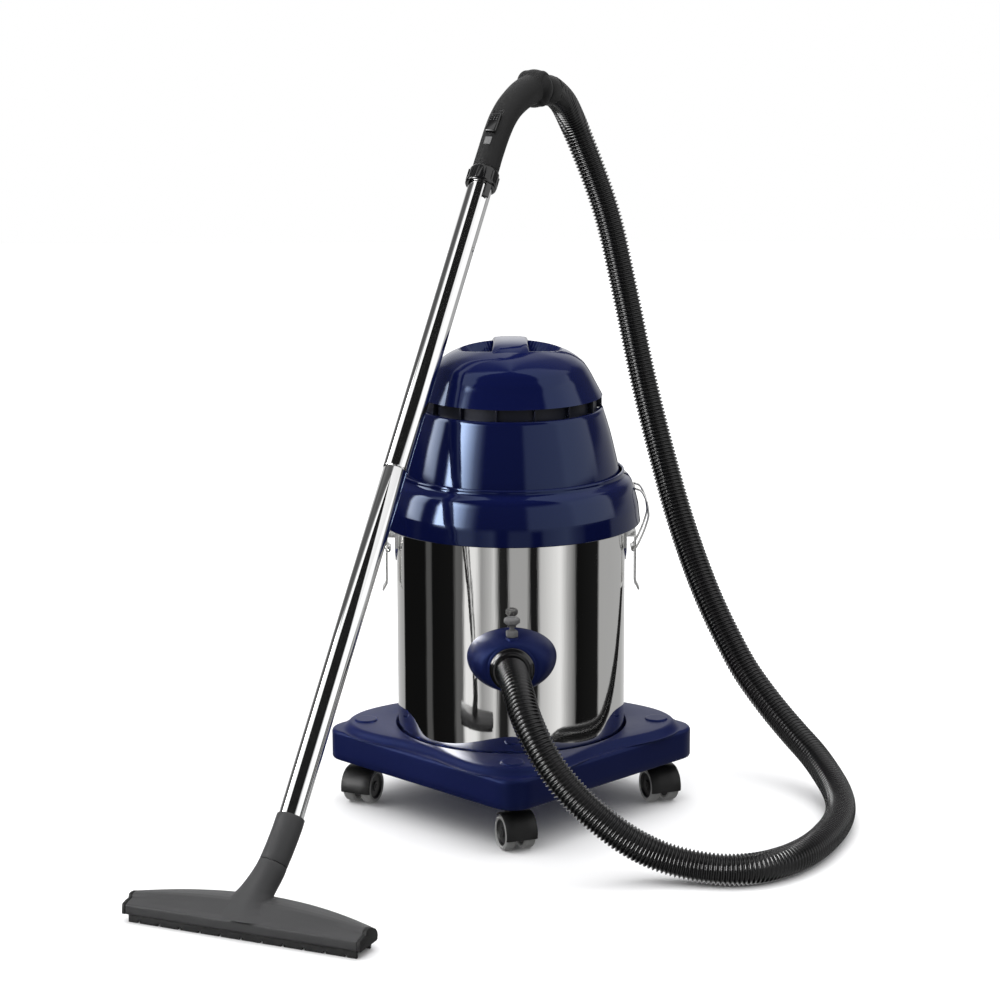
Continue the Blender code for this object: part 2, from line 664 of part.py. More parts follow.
def latch(side, turn):
    """One side's latch: its bracket on the tank, its lever and its wire bail."""
    root = empty(f"latch_{side}_place", matrix=Matrix.Rotation(math.radians(turn), 4, "Z"))
    skin = TANK_RADIUS + GAP
    hinge_x = TANK_RADIUS + HINGE_STANDOFF
    half = LEVER_WIDTH / 2
    ear = half + PLAY
    bracket = put(block(f"latch_{side}_bracket", (skin - 0.006, -half - 0.004, HINGE_HEIGHT - 0.046),
                        (skin + 0.0018, half + 0.004, HINGE_HEIGHT + 0.009), "steel"), parent=root)
    for hand in (-1, 1):
        low_y, high_y = sorted((hand * ear, hand * (ear + EAR_THICK)))
        join(bracket, put(block("ear", (skin - 0.004, low_y, HINGE_HEIGHT - 0.006),
                                (hinge_x + 0.0032, high_y, HINGE_HEIGHT + 0.005)), parent=root))
        tip = ((0, half + 0.01), (0, half - 0.012), (hand, half))
        notch = outline("notch", [(-0.046 - 0.001, hand * (tip[1][1] - 0.006)), (-0.020,
                                                                                 hand * (half + 0.006)),
                                  (-0.047, hand * (half + 0.006))], -0.02, 0.02)
        notch.matrix_local = Matrix.Translation((skin, 0, HINGE_HEIGHT)) @ Matrix(
            ((0, 0, 1, 0), (0, 1, 0, 0), (1, 0, 0, 0), (0, 0, 0, 1)))
        notch.parent = root
        cut(bracket, notch)
    cut(bracket, put(disc("skin", skin, 0, 0.6, steps=SEGMENTS), parent=root))
    pin = disc("pin", WIRE_RADIUS, -ear - EAR_THICK - 0.0006, ear + EAR_THICK + 0.0006, steps=12)
    join(bracket, put(pin, (hinge_x, 0, HINGE_HEIGHT), (90, 0, 0), root))

    hinge = empty(f"latch_{side}_hinge", (hinge_x, 0, HINGE_HEIGHT), parent=root)
    plate_x = 0.0018
    lever = put(block(f"latch_{side}_lever", (plate_x, -half, -LEVER_LENGTH),
                      (plate_x + LEVER_THICK, half, 0), "steel"), parent=hinge)
    lip = block("lip", (0, -half, -0.012), (LEVER_THICK, half, 0))
    join(lever, put(lip, (plate_x, 0, -LEVER_LENGTH + 0.001), (0, -28, 0), hinge))
    join(lever, put(disc("knuckle", 0.0034, -half, half, steps=16), turn=(90, 0, 0), parent=hinge))
    join(lever, put(disc("rib", 0.0034, -half, half, steps=16), (0, 0, -BAIL_DROP), (90, 0, 0), hinge))
    cut(lever, put(disc("hinge_bore", WIRE_RADIUS + GAP, -half - 0.01, half + 0.01, steps=16),
                   turn=(90, 0, 0), parent=hinge))
    cut(lever, put(disc("bail_bore", WIRE_RADIUS + GAP, -half - 0.01, half + 0.01, steps=16),
                   (0, 0, -BAIL_DROP), (90, 0, 0), hinge))

    pivot = empty(f"latch_{side}_bail_pivot", (0, 0, -BAIL_DROP), parent=hinge)
    shoulder_r, shoulder_z = RIM_SHOULDER[0]
    upper_r, upper_z = RIM_SHOULDER[1]
    share = 0.35
    along = Vector((upper_r - shoulder_r, upper_z - shoulder_z))
    out = Vector((along.y, -along.x)).normalized() * (WIRE_RADIUS + 2 * GAP)
    bar = Vector((shoulder_r, shoulder_z)) + along * share + out - Vector((hinge_x, HINGE_HEIGHT - BAIL_DROP))
    clear = RIM_RADIUS - hinge_x
    side_path = [(0, 0.0), (0.006, 0.008), (clear + 0.0045, 0.028), (clear + 0.0105, 0.047),
                 (clear + 0.0105, 0.058), (clear + 0.0075, 0.073), (clear + 0.001, 0.086),
                 (bar.x + 0.003, bar.y - 0.001)]
    reach = BAIL_HALF_WIDTH
    left = [(x, reach, z) for x, z in side_path]
    right = [(x, -reach, z) for x, z in reversed(side_path)]
    tuck = 0.008
    wire = [(0, reach - tuck, 0), *left, (bar.x, reach - 0.003, bar.y), (bar.x, 0.003 - reach, bar.y),
            *right, (0, tuck - reach, 0)]
    bail = tube(f"latch_{side}_bail", wire, WIRE_RADIUS, "steel", 2)
    put(bail, parent=pivot)


def rim_inner():
    """The inner side of the rim's shell, from the lip down to the web, by the wall's thickness."""
    points = [(LIP_RADIUS - LIP_WALL, LIP_TOP - 0.001)]
    points += [(r - RIM_WALL, z - 0.001) for r, z in reversed(RIM_SHOULDER)]
    return points


def head_rim():
    """The skirt that caps the tank, with the web that carries the motor plate."""
    web_low = TANK_TOP + GAP + SEAL_THICK + GAP
    web_top = web_low + WEB_THICK
    wall_r, wall_z = RIM_BREAK
    profile = [(LIP_RADIUS - LIP_WALL + 0.0008, LIP_TOP), (LIP_RADIUS - 0.0010, LIP_TOP),
               (LIP_RADIUS, LIP_TOP - 0.0012), RIM_SHOULDER[2], RIM_SHOULDER[1], RIM_SHOULDER[0], RIM_BREAK,
               (RIM_RADIUS, RIM_BOTTOM + 0.0015), (RIM_RADIUS - 0.001, RIM_BOTTOM),
               (RIM_RADIUS - RIM_WALL, RIM_BOTTOM), (wall_r - RIM_WALL, web_low),
               (WEB_HOLE, web_low), (WEB_HOLE, web_top), (wall_r - RIM_WALL - 0.002, web_top)]
    profile += list(reversed(rim_inner()))
    turned("head_rim", profile, "blue", SEGMENTS, ring=True)
    seal_top = web_low - GAP
    middle = TANK_RADIUS - TANK_WALL / 2
    turned("head_seal", [(middle + SEAL_WIDTH / 2, seal_top), (middle + SEAL_WIDTH / 2,
                                                               seal_top - SEAL_THICK),
                         (middle - SEAL_WIDTH / 2, seal_top - SEAL_THICK), (middle - SEAL_WIDTH / 2,
                                                                            seal_top)],
           "rubber", SEGMENTS, ring=True)
    return web_low, web_top


def motor_cover(web_top):
    """The cone over the motor, with the holes for the switch and the cable gland."""
    inside = [(r - COVER_WALL, z) for r, z in COVER_PROFILE]
    foot = web_top + GAP
    floor_low = COVER_PROFILE[0][1] - COVER_WALL
    profile = [*COVER_PROFILE, (COVER_PROFILE[-1][0] + 0.0002, foot),
               (COVER_PROFILE[-1][0] - COVER_WALL, foot), *reversed(inside[2:]),
               (inside[1][0], floor_low - 0.003), (VENT_RING_RADIUS - 0.012, floor_low - 0.003),
               (VENT_RING_RADIUS - 0.012, floor_low), (inside[0][0], floor_low), (inside[0][0],
                                                                                  COVER_PROFILE[0][1])]
    cover = turned("motor_cover", profile, "blue", SEGMENTS, ring=True)
    width, height = SWITCH_SIZE
    cut(cover, block("switch_hole", (-width / 2 - PLAY, 0.10, SWITCH_HEIGHT - height / 2 - PLAY),
                     (width / 2 + PLAY, 0.20, SWITCH_HEIGHT + height / 2 + PLAY)))
    hole = disc("gland_hole", GLAND_RADIUS - 0.002 + GAP, 0, 0.2, steps=FEW)
    cut(cover, put(hole, (0, 0, GLAND_HEIGHT), (-90, 0, 0)))


def cover_radius(height):
    """The motor cover's outer radius at a height."""
    for (r_high, z_high), (r_low, z_low) in zip(COVER_PROFILE, COVER_PROFILE[1:]):
        if z_low <= height <= z_high:
            return r_low + (r_high - r_low) * (height - z_low) / (z_high - z_low)
    return COVER_PROFILE[-1][0]


def switch_and_gland():
    """The mains rocker in the cover's back, and the cable gland below it."""
    width, height = SWITCH_SIZE
    face = cover_radius(SWITCH_HEIGHT)
    pivot = empty("switch_pivot", (0, face - 0.005, SWITCH_HEIGHT))
    rocker = put(block("switch_rocker", (-width / 2, -SWITCH_DEPTH / 2, -height / 2 + 0.001),
                       (width / 2, 0.0075, height / 2 - 0.001), "black"), parent=pivot)
    crease = block("crease", (-0.02, 0, -height), (0.02, 0.02, height))
    cut(rocker, put(crease, (0, 0.0055, height / 2), (14, 0, 0), pivot))
    surface = cover_radius(GLAND_HEIGHT - GLAND_RADIUS - 0.003)
    neck = GLAND_RADIUS - 0.002
    gland = turned("cable_gland", [(0.0062, GLAND_LENGTH), (GLAND_RADIUS, GLAND_LENGTH - 0.002),
                                   (GLAND_RADIUS, 0.006), (GLAND_RADIUS + 0.003,
                                                           0.0058), (GLAND_RADIUS + 0.003, GAP),
                                   (neck, GAP), (neck, -0.012), (0.004, -0.012), (0.004, GLAND_LENGTH)],
                   "black", FEW, ring=True)
    put(gland, (0, surface + GAP, GLAND_HEIGHT), (-90, 0, 0))


def vents():
    """The dark ring between cover and dome, with its ribs across the exhaust slot."""
    low = COVER_PROFILE[0][1] - COVER_WALL + GAP
    high = COVER_PROFILE[0][1] + VENT_HEIGHT - GAP
    inner = VENT_RING_RADIUS - VENT_RING_WALL
    ring = turned("vent_ring", [(VENT_RING_RADIUS, high), (VENT_RING_RADIUS, low), (inner, low), (inner,
                                                                                                  high)],
                  "black", SEGMENTS, ring=True)
    rib_low = COVER_PROFILE[0][1] + GAP
    reach = COVER_PROFILE[0][0] - 0.0015
    for index in range(VENT_RIBS):
        angle = -90 + VENT_PHASE + 360 * index / VENT_RIBS
        rib = block("rib", (inner + 0.001, -0.0012, rib_low), (reach, 0.0012, high))
        join(ring, put(rib, turn=(0, 0, angle)))
    return high + GAP


def dome_solid(name, rise, shrink, bottom):
    """The dome's turned body, raised and drawn in by the given amounts."""
    profile = [(0, DOME_TOP + rise)]
    profile += [(r - shrink, z + rise) for r, z in DOME_PROFILE[:-1]]
    profile += [(DOME_PROFILE[-1][0] - shrink, bottom), (0, bottom)]
    return turned(name, profile, None, SEGMENTS)


def well_shape(name, extra):
    """The hand well's rounded hollow, larger by an extra all round."""
    half = [h + extra for h in WELL_HALF]
    return put(ball(name, half, None, 20), (0, 0, WELL_CENTRE))


def top_dome(low):
    """The domed top with the hand well and the carrying bar across it."""
    dome = dome_solid("top_dome", 0, 0, low)
    dome.data.materials.append(bpy.data.materials["blue"])
    hollow = dome_solid("hollow", -DOME_WALL, DOME_WALL, low - 0.01)
    cut(hollow, well_shape("well_wall", DOME_WALL))
    cut(dome, hollow)
    cut(dome, well_shape("well", 0))
    web = turned("web", [(DOME_PROFILE[-1][0] - 0.0005, low + DOME_WALL), (DOME_PROFILE[-1][0] - 0.0005, low),
                         (VENT_RING_RADIUS - 0.012, low), (VENT_RING_RADIUS - 0.012, low + DOME_WALL)],
                 None, SEGMENTS, ring=True)
    join(dome, web)
    bar = dome_solid("bar", BAR_RISE, 0.010, low)
    under = dome_solid("under", BAR_RISE - BAR_THICK, 0.010 + BAR_THICK, low - 0.01)
    cut(bar, under)
    reach = WELL_HALF[1] + 0.004
    keep(bar, block("span", (-BAR_HALF_WIDTH, -reach, DOME_TOP - 0.05), (BAR_HALF_WIDTH, reach,
                                                                         DOME_TOP + 0.02)))
    join(dome, bar)


def motor_parts(web_low, web_top):
    """The plate, the fan and its housing, and the motor."""
    plate_low = web_top + GAP
    plate_top = plate_low + PLATE_THICK
    turned("motor_plate", [(PLATE_RADIUS, plate_top), (PLATE_RADIUS, plate_low), (PLATE_HOLE, plate_low),
                           (PLATE_HOLE, plate_top)], "inner", SEGMENTS, ring=True)
    fan_low = plate_top + GAP
    fan_top = fan_low + FAN_HEIGHT
    outer = FAN_RADIUS
    wall = FAN_WALL
    housing = turned("fan_housing", [(outer - 0.006, fan_top), (outer, fan_top - 0.006), (outer, fan_low),
                                     (PLATE_HOLE, fan_low), (PLATE_HOLE, fan_low + wall), (outer - wall,
                                                                                           fan_low + wall),
                                     (outer - wall, fan_top - 0.008), (outer - 0.008, fan_top - wall),
                                     (SHAFT_RADIUS + 0.004, fan_top - wall), (SHAFT_RADIUS + 0.004, fan_top)],
                     "zinc", SOME, ring=True)
    for index in range(6):
        port = block("port", (outer - 0.02, -0.006, fan_low + 0.010), (outer + 0.02, 0.006, fan_top - 0.012))
        cut(housing, put(port, turn=(0, 0, 60 * index)))
    motor_low = fan_top + GAP
    motor_top = motor_low + MOTOR_HEIGHT
    turned("motor", [(0, motor_top + 0.012), (0.014, motor_top + 0.012), (0.014, motor_top),
                     (MOTOR_RADIUS - 0.006, motor_top), (MOTOR_RADIUS, motor_top - 0.006), (MOTOR_RADIUS,
                                                                                            motor_low),
                     (SHAFT_RADIUS + PLAY, motor_low), (SHAFT_RADIUS + PLAY, motor_top - 0.010), (0,
                                                                                                  motor_top - 0.010)],
           "inner", SOME)
    blade_low = fan_low + wall + 0.003
    blade_top = fan_top - wall - 0.006
    turned("fan", [(0, motor_top - 0.020), (SHAFT_RADIUS, motor_top - 0.020), (SHAFT_RADIUS, blade_top),
                   (outer - wall - 0.006, blade_top), (outer - wall - 0.006, blade_low + 0.004),
                   (PLATE_HOLE - 0.010, blade_low), (PLATE_HOLE - 0.012, blade_low), (PLATE_HOLE - 0.016,
                                                                                      blade_top - 0.004),
                   (0, blade_top - 0.004)], "zinc", FEW)


def filter_parts(web_low):
    """The float cage under the web, its float, the filter sleeve and its clamp ring."""
    top = web_low - GAP
    flange = 0.0035
    outer = CAGE_RADIUS
    inner = outer - CAGE_WALL
    cage = turned("float_cage", [(WEB_HOLE + 0.012, top), (WEB_HOLE + 0.012, top - flange), (outer,
                                                                                             top - flange),
                                 (outer, CAGE_BOTTOM), (0.020, CAGE_BOTTOM), (0.020, CAGE_BOTTOM + CAGE_WALL),
                                 (inner, CAGE_BOTTOM + CAGE_WALL), (inner,
                                                                    top)], "graphite", SEGMENTS, ring=True)
    for index in range(CAGE_SLOTS):
        slot = block("slot", (inner - 0.02, -0.014, CAGE_BOTTOM + 0.012), (outer + 0.02, 0.014, top - 0.030))
        cut(cage, put(slot, turn=(0, 0, 360 * (index + 0.5) / CAGE_SLOTS)))
    low = CAGE_BOTTOM + CAGE_WALL + GAP
    turned("float", [(0, low + FLOAT_HEIGHT), (FLOAT_RADIUS - 0.010, low + FLOAT_HEIGHT),
                     (FLOAT_RADIUS, low + FLOAT_HEIGHT - 0.010), (FLOAT_RADIUS, low + 0.004),
                     (FLOAT_RADIUS - 0.004, low), (0, low)], "filter", SOME)
    sleeve_in = outer + GAP
    sleeve_out = sleeve_in + FILTER_WALL
    sleeve_top = top - flange - GAP
    sleeve_low = CAGE_BOTTOM - GAP
    turned("filter_sleeve", [(0, sleeve_low), (sleeve_in, sleeve_low), (sleeve_in, sleeve_top), (sleeve_out,
                                                                                                 sleeve_top),
                             (sleeve_out, sleeve_low - FILTER_WALL), (0,
                                                                      sleeve_low - FILTER_WALL)], "filter", SEGMENTS)
    ring_in = sleeve_out + GAP
    turned("filter_clamp", [(ring_in + 0.002, sleeve_top - 0.004), (ring_in + 0.002, sleeve_top - 0.016),
                            (ring_in, sleeve_top - 0.016), (ring_in,
                                                            sleeve_top - 0.004)], "steel", SEGMENTS, ring=True)


def head():
    """Everything that lifts off the tank."""
    web_low, web_top = head_rim()
    motor_cover(web_top)
    switch_and_gland()
    dome_low = vents()
    top_dome(dome_low)
    motor_parts(web_low, web_top)
    filter_parts(web_low)


def heading():
    """The wand plane's level direction."""
    angle = math.radians(WAND_HEADING)
    return Vector((math.cos(angle), math.sin(angle), 0))


def wand_direction():
    """Unit vector up along the wand."""
    slope = math.radians(WAND_SLOPE)
    return heading() * math.cos(slope) + Vector((0, 0, math.sin(slope)))


def frame_matrix(origin, along):
    """A frame with Z along a direction in the wand's plane and Y level, across the plane."""
    z_axis = Vector(along).normalized()
    level = heading()
    y_axis = Vector((level.y, -level.x, 0))
    x_axis = y_axis.cross(z_axis)
    matrix = Matrix((x_axis, y_axis, z_axis)).transposed().to_4x4()
    return Matrix.Translation(origin) @ matrix


def in_plane(forward, up):
    """A point of the wand's plane, from the wand at GRIP_ORIGIN."""
    base = Vector(WAND_FOOT) + wand_direction() * GRIP_ORIGIN
    return base + heading() * forward + Vector((0, 0, up))


def tubes(wand):
    """The two chromed tubes with their spring buttons and the locking ring."""
    radius = TUBE_RADIUS
    wall = TUBE_WALL
    thin = LOWER_RADIUS
    neck = thin - wall - NECK_GAP
    lower = turned("lower_tube", [(thin, TUBE_JOINT - GAP), (thin, -SLEEVE_GRIP), (thin - wall, -SLEEVE_GRIP),
                                  (thin - wall, TUBE_JOINT - GAP)], "steel", SOME, ring=True)
    put(lower, parent=wand)
    hole = disc("hole", BUTTON_RADIUS + GAP, 0, 0.04)
    cut(lower, put(hole, (0, 0, LOWER_BUTTON), (90, 0, 0), wand))
    upper = turned("upper_tube", [(radius, TUBE_TOP), (radius, TUBE_JOINT), (neck, TUBE_JOINT),
                                  (neck, TUBE_JOINT - NECK_LENGTH), (neck - wall, TUBE_JOINT - NECK_LENGTH),
                                  (neck - wall, TUBE_JOINT + wall), (radius - wall, TUBE_JOINT + 2 * wall),
                                  (radius - wall, TUBE_TOP)], "steel", SOME, ring=True)
    put(upper, parent=wand)
    cut(upper, put(disc("hole", BUTTON_RADIUS + GAP, 0, 0.04), (0, 0, LOWER_BUTTON), (90, 0, 0), wand))
    cut(upper, put(disc("hole", BUTTON_RADIUS + GAP, 0, 0.04), (0, 0, UPPER_BUTTON), (-90, 0, 0), wand))
    for name, place, turn, skin in (("lower_button", LOWER_BUTTON, 90, thin), ("upper_button", UPPER_BUTTON,
                                                                               -90, radius)):
        reach = skin + 0.0016
        button = turned(name, [(0, reach), (BUTTON_RADIUS - 0.001, reach), (BUTTON_RADIUS, reach - 0.001),
                               (BUTTON_RADIUS, 0.0115), (0, 0.0115)], "zinc", FEW)
        put(button, (0, 0, place), (turn, 0, 0), wand)
    ring_in = radius + GAP
    ring_top = GRIP_START - GAP
    ring = turned("lock_ring", [(RING_RADIUS - 0.003, ring_top), (RING_RADIUS - 0.001, ring_top - 0.004),
                                (RING_RADIUS - 0.001, ring_top - RING_LENGTH + 0.002),
                                (RING_RADIUS - 0.003, ring_top - RING_LENGTH), (ring_in,
                                                                                ring_top - RING_LENGTH),
                                (ring_in, ring_top)], "black", SOME, ring=True)
    put(ring, parent=wand)
    for index in range(RING_RIBS):
        rib = block("rib", (RING_RADIUS - 0.003, -0.001, ring_top - RING_LENGTH + 0.004),
                    (RING_RADIUS, 0.001, ring_top - 0.005))
        join(ring, put(rib, turn=(0, 0, 360 * index / RING_RIBS), parent=wand))
    tongue = block("tongue", (ring_in + 0.0004, -0.005, ring_top - RING_LENGTH - 0.022),
                   (ring_in + 0.0032, 0.005, ring_top - RING_LENGTH + 0.006))
    join(ring, put(tongue, turn=(0, 0, 60), parent=wand))


def grip(wand):
    """The bent handle with its inner spigot, swivel housing and bleed slot."""
    path = [in_plane(s, z) for s, z, _ in GRIP_PATH]
    radii = [r for _, _, r in GRIP_PATH]
    handle = tube("grip", path, radii[0], "black", 4, radii)
    centre = in_plane(*GRIP_PATH[-1][:2])
    join(handle, put(ball("knuckle", (KNUCKLE_RADIUS,) * 3, None, 28), centre))
    neck = TUBE_RADIUS - TUBE_WALL - NECK_GAP
    low = UPPER_BUTTON - 0.015
    join(handle, put(disc("spigot", neck, low, GRIP_START + 0.012, steps=SOME), turn=(0, 0, 5), parent=wand))
    cuff = in_plane(*GRIP_CUFF_START)
    slope = math.radians(GRIP_CUFF_SLOPE)
    out = heading() * math.cos(slope) + Vector((0, 0, math.sin(slope)))
    start = Vector(WAND_FOOT) + wand_direction() * (low - 0.01)
    bend = Vector(WAND_FOOT) + wand_direction() * (GRIP_START + 0.004)
    cut(handle, tube("bore", [start, bend, *path[2:-1], centre, cuff + out * 0.02], GRIP_BORE, None, 4))
    mouth = empty("grip_mouth", matrix=frame_matrix(cuff, out))
    cut(handle, put(disc("mouth", KNUCKLE_RADIUS, 0, 0.03, steps=SOME), parent=mouth))
    hole = disc("button_hole", BUTTON_RADIUS + GAP, 0, 0.04)
    cut(handle, put(hole, (0, 0, UPPER_BUTTON), (-90, 0, 0), wand))
    slope = math.radians(SLIDER_SLOPE)
    along = heading() * math.cos(slope) + Vector((0, 0, math.sin(slope)))
    slot = empty("slider_place", matrix=frame_matrix(in_plane(*SLIDER_PLACE), along))
    length, width = SLOT_SIZE
    cut(handle, put(block("slot", (SLOT_FLOOR, -width / 2, -length / 2), (0.04, width / 2, length / 2)),
                    parent=slot))
    cut(handle, put(disc("bleed", 0.003, 0, 0.04, steps=16), (0, 0, -length / 4), (0, 90, 0), slot))
    slider_length, slider_width, height = SLIDER_SIZE
    low_z = -length / 2 + GAP
    slider = block("valve_slider", (SLOT_FLOOR + GAP, -slider_width / 2, low_z),
                   (SLOT_FLOOR + GAP + height, slider_width / 2, low_z + slider_length), "graphite", 0.0015)
    put(slider, parent=slot)

    profile = [(GRIP_CUFF_RADIUS - 0.002, GRIP_CUFF_LENGTH), (GRIP_CUFF_RADIUS, GRIP_CUFF_LENGTH - 0.004),
               (GRIP_CUFF_RADIUS, GAP + 0.003), (GRIP_CUFF_RADIUS - 0.002, GAP), (GRIP_BORE, GAP),
               (GRIP_BORE, GRIP_CUFF_LENGTH)]
    put(turned("hose_cuff_grip", profile, "black", SOME, ring=True), parent=mouth)
    return cuff + out * (GRIP_CUFF_LENGTH + GAP), out


def inlet_cuff():
    """The hose's end fitting in the tank's inlet, with the groove for the lock pin."""
    mouth = TANK_RADIUS + COLLAR_REACH
    pin = mouth - PIN_SETBACK
    groove = CUFF_RADIUS - PIN_BITE
    side = PIN_RADIUS + GAP
    face = mouth + 0.010
    profile = [(CUFF_NUT, face), (CUFF_NUT, mouth + 0.004), (CUFF_FLANGE - 0.001, mouth + 0.004),
               (CUFF_FLANGE, mouth + 0.003), (CUFF_FLANGE, mouth + GAP), (CUFF_RADIUS, mouth + GAP),
               (CUFF_RADIUS, pin + side), (groove, pin + side), (groove, pin - side), (CUFF_RADIUS,
                                                                                       pin - side),
               (CUFF_RADIUS, TANK_RADIUS - BUSH_DEPTH), (0.0205, TANK_RADIUS - BUSH_DEPTH), (0.0205,
                                                                                             face - 0.004),
               (0.0165, face - 0.004), (0.0165, face)]
    cuff = turned("hose_cuff_inlet", profile, "black", SOME, ring=True)
    put(cuff, (0, 0, INLET_HEIGHT), (90, 0, 0))
    return Vector((0, -(face + GAP), INLET_HEIGHT)), Vector((0, -1, 0))


def hose(start, start_out, end, end_out):
    """The corrugated hose's envelope, from the inlet's cuff round to the grip's."""
    lead = HOSE_RADIUS / 2
    knots = [start + start_out * lead, *HOSE_ROUTE, end + end_out * lead]
    tube_curve("hose", [start, *smooth_path(knots, HOSE_SPACING), end], HOSE_RADIUS, "black", 3)


def tool_depth(share):
    """The floor tool's depth at a share of its half length, 0 in the middle."""
    return TOOL_DEPTH_END + (TOOL_DEPTH_MID - TOOL_DEPTH_END) * (1 - share * share)


def tool_top(share):
    """The floor tool's crest height at a share of its half length."""
    return TOOL_TOP_END + (TOOL_TOP_MID - TOOL_TOP_END) * (1 - share * share)


def tool_section(share):
    """The floor tool's section, as (depth, height) points round it."""
    front = -TOOL_DEPTH_END / 2
    depth = tool_depth(share)
    top = tool_top(share)
    back = front + depth
    return [(front, TOOL_BOTTOM), (front, TOOL_FRONT_TOP), (front + 0.45 * depth, top), (back - 0.006,
                                                                                         top - 0.006),
            (back, TOOL_BOTTOM + 0.006), (back - 0.003, TOOL_BOTTOM)]


def tool_loft(name, low, high, stations, finish=None):
    """The tool's body between two places along its length, lofted through its sections."""
    bm = bmesh.new()
    rings = []
    for index in range(stations + 1):
        x = low + (high - low) * index / stations
        share = min(1.0, abs(x) / (TOOL_LENGTH / 2))
        rings.append([bm.verts.new((x, y, z)) for y, z in tool_section(share)])
    for a, b in zip(rings, rings[1:]):
        for i, _ in enumerate(a):
            j = (i + 1) % len(a)
            bm.faces.new((a[i], a[j], b[j], b[i]))
    bm.faces.new(rings[0])
    bm.faces.new(rings[-1])
    bmesh.ops.triangulate(bm, faces=bm.faces)
    bmesh.ops.recalc_face_normals(bm, faces=bm.faces)
    mesh = bpy.data.meshes.new(name)
    bm.to_mesh(mesh)
    bm.free()
    return add(name, mesh, finish)


def strip(name, front, finish, notched, parent):
    """A rubber strip under the tool, notched along its lower edge if asked."""
    top = TOOL_BOTTOM - GAP
    piece = put(block(name, (-STRIP_LENGTH / 2, front, 0), (STRIP_LENGTH / 2, front + STRIP_THICK, top),
                      finish),
                parent=parent)
    if notched:
        for index in range(STRIP_NOTCHES):
            x = STRIP_LENGTH * ((index + 0.5) / STRIP_NOTCHES - 0.5)
            notch = block("notch", (x - 0.002, front - 0.01, -0.01), (x + 0.002, front + 0.02, 0.0035))
            cut(piece, put(notch, parent=parent))


def neck_loft(top, direction, foot, parent, into):
    """The tool's neck, lofted from the sleeve's round foot to a long oval on the body."""
    across = Vector((direction.y, -direction.x, 0)).normalized()
    stations = ((0.0, SLEEVE_RADIUS + 0.0012, SLEEVE_RADIUS + 0.0012, direction), (0.12, 0.0210, 0.0208,
                                                                                   direction),
                (0.45, 0.0245, 0.0205, None), (0.78, 0.0335, 0.0215, None), (1.0, 0.0440, 0.0240, Vector((0,
                                                                                                          0, 1))))
    bm = bmesh.new()
    rings = []
    count = SOME
    for share, wide, deep, normal in stations:
        normal = normal or direction.lerp(Vector((0, 0, 1)), share).normalized()
        level = normal.cross(across)
        sag = Vector((0, 0, -0.004)) * math.sin(math.pi * share)
        centre = top.lerp(foot, share) + sag
        ring = []
        for step in range(count):
            angle = 2 * math.pi * (step + 0.5) / count
            point = centre + across * (wide * math.cos(angle)) + level * (deep * math.sin(angle))
            ring.append(bm.verts.new(into @ point))
        rings.append(ring)
    for low, high in zip(rings, rings[1:]):
        for i, _ in enumerate(low):
            j = (i + 1) % count
            bm.faces.new((low[i], low[j], high[j], high[i]))
    bm.faces.new(rings[0])
    bm.faces.new(rings[-1])
    bmesh.ops.triangulate(bm, faces=bm.faces)
    bmesh.ops.recalc_face_normals(bm, faces=bm.faces)
    mesh = bpy.data.meshes.new("neck")
    bm.to_mesh(mesh)
    bm.free()
    return put(add("neck", mesh), parent=parent)


def tool_sleeve(wand):
    """The tool's socket for the tube, which bends a little towards its foot."""
    path = []
    for step in range(5):
        share = step / 4
        path.append((0, SLEEVE_LEAN * share ** 1.75, -SLEEVE_LENGTH * share))
    radii = [SLEEVE_RADIUS, SLEEVE_RADIUS, SLEEVE_RADIUS, SLEEVE_RADIUS + 0.0002, SLEEVE_RADIUS + 0.0006]
    sleeve = put(tube("tool_sleeve", path, SLEEVE_RADIUS, "graphite", 4, radii), parent=wand)
    cut(sleeve, put(disc("bore", LOWER_RADIUS + GAP, -SLEEVE_GRIP - GAP, 0.01, steps=SOME), parent=wand))
    inner = [(0, 0, 0), (0, 0, -SLEEVE_GRIP), *path[3:], (0, 2 * path[-1][1] - path[-2][1],
                                                          -SLEEVE_LENGTH - 0.016)]
    cut(sleeve, put(tube("passage", inner, 0.0125, None, 3), parent=wand))
    into_world = frame_matrix(Vector(WAND_FOOT), wand_direction())
    foot = into_world @ Vector(path[-1])
    direction = (into_world @ Vector(path[-2]) - foot).normalized()
    return foot - direction * GAP, direction


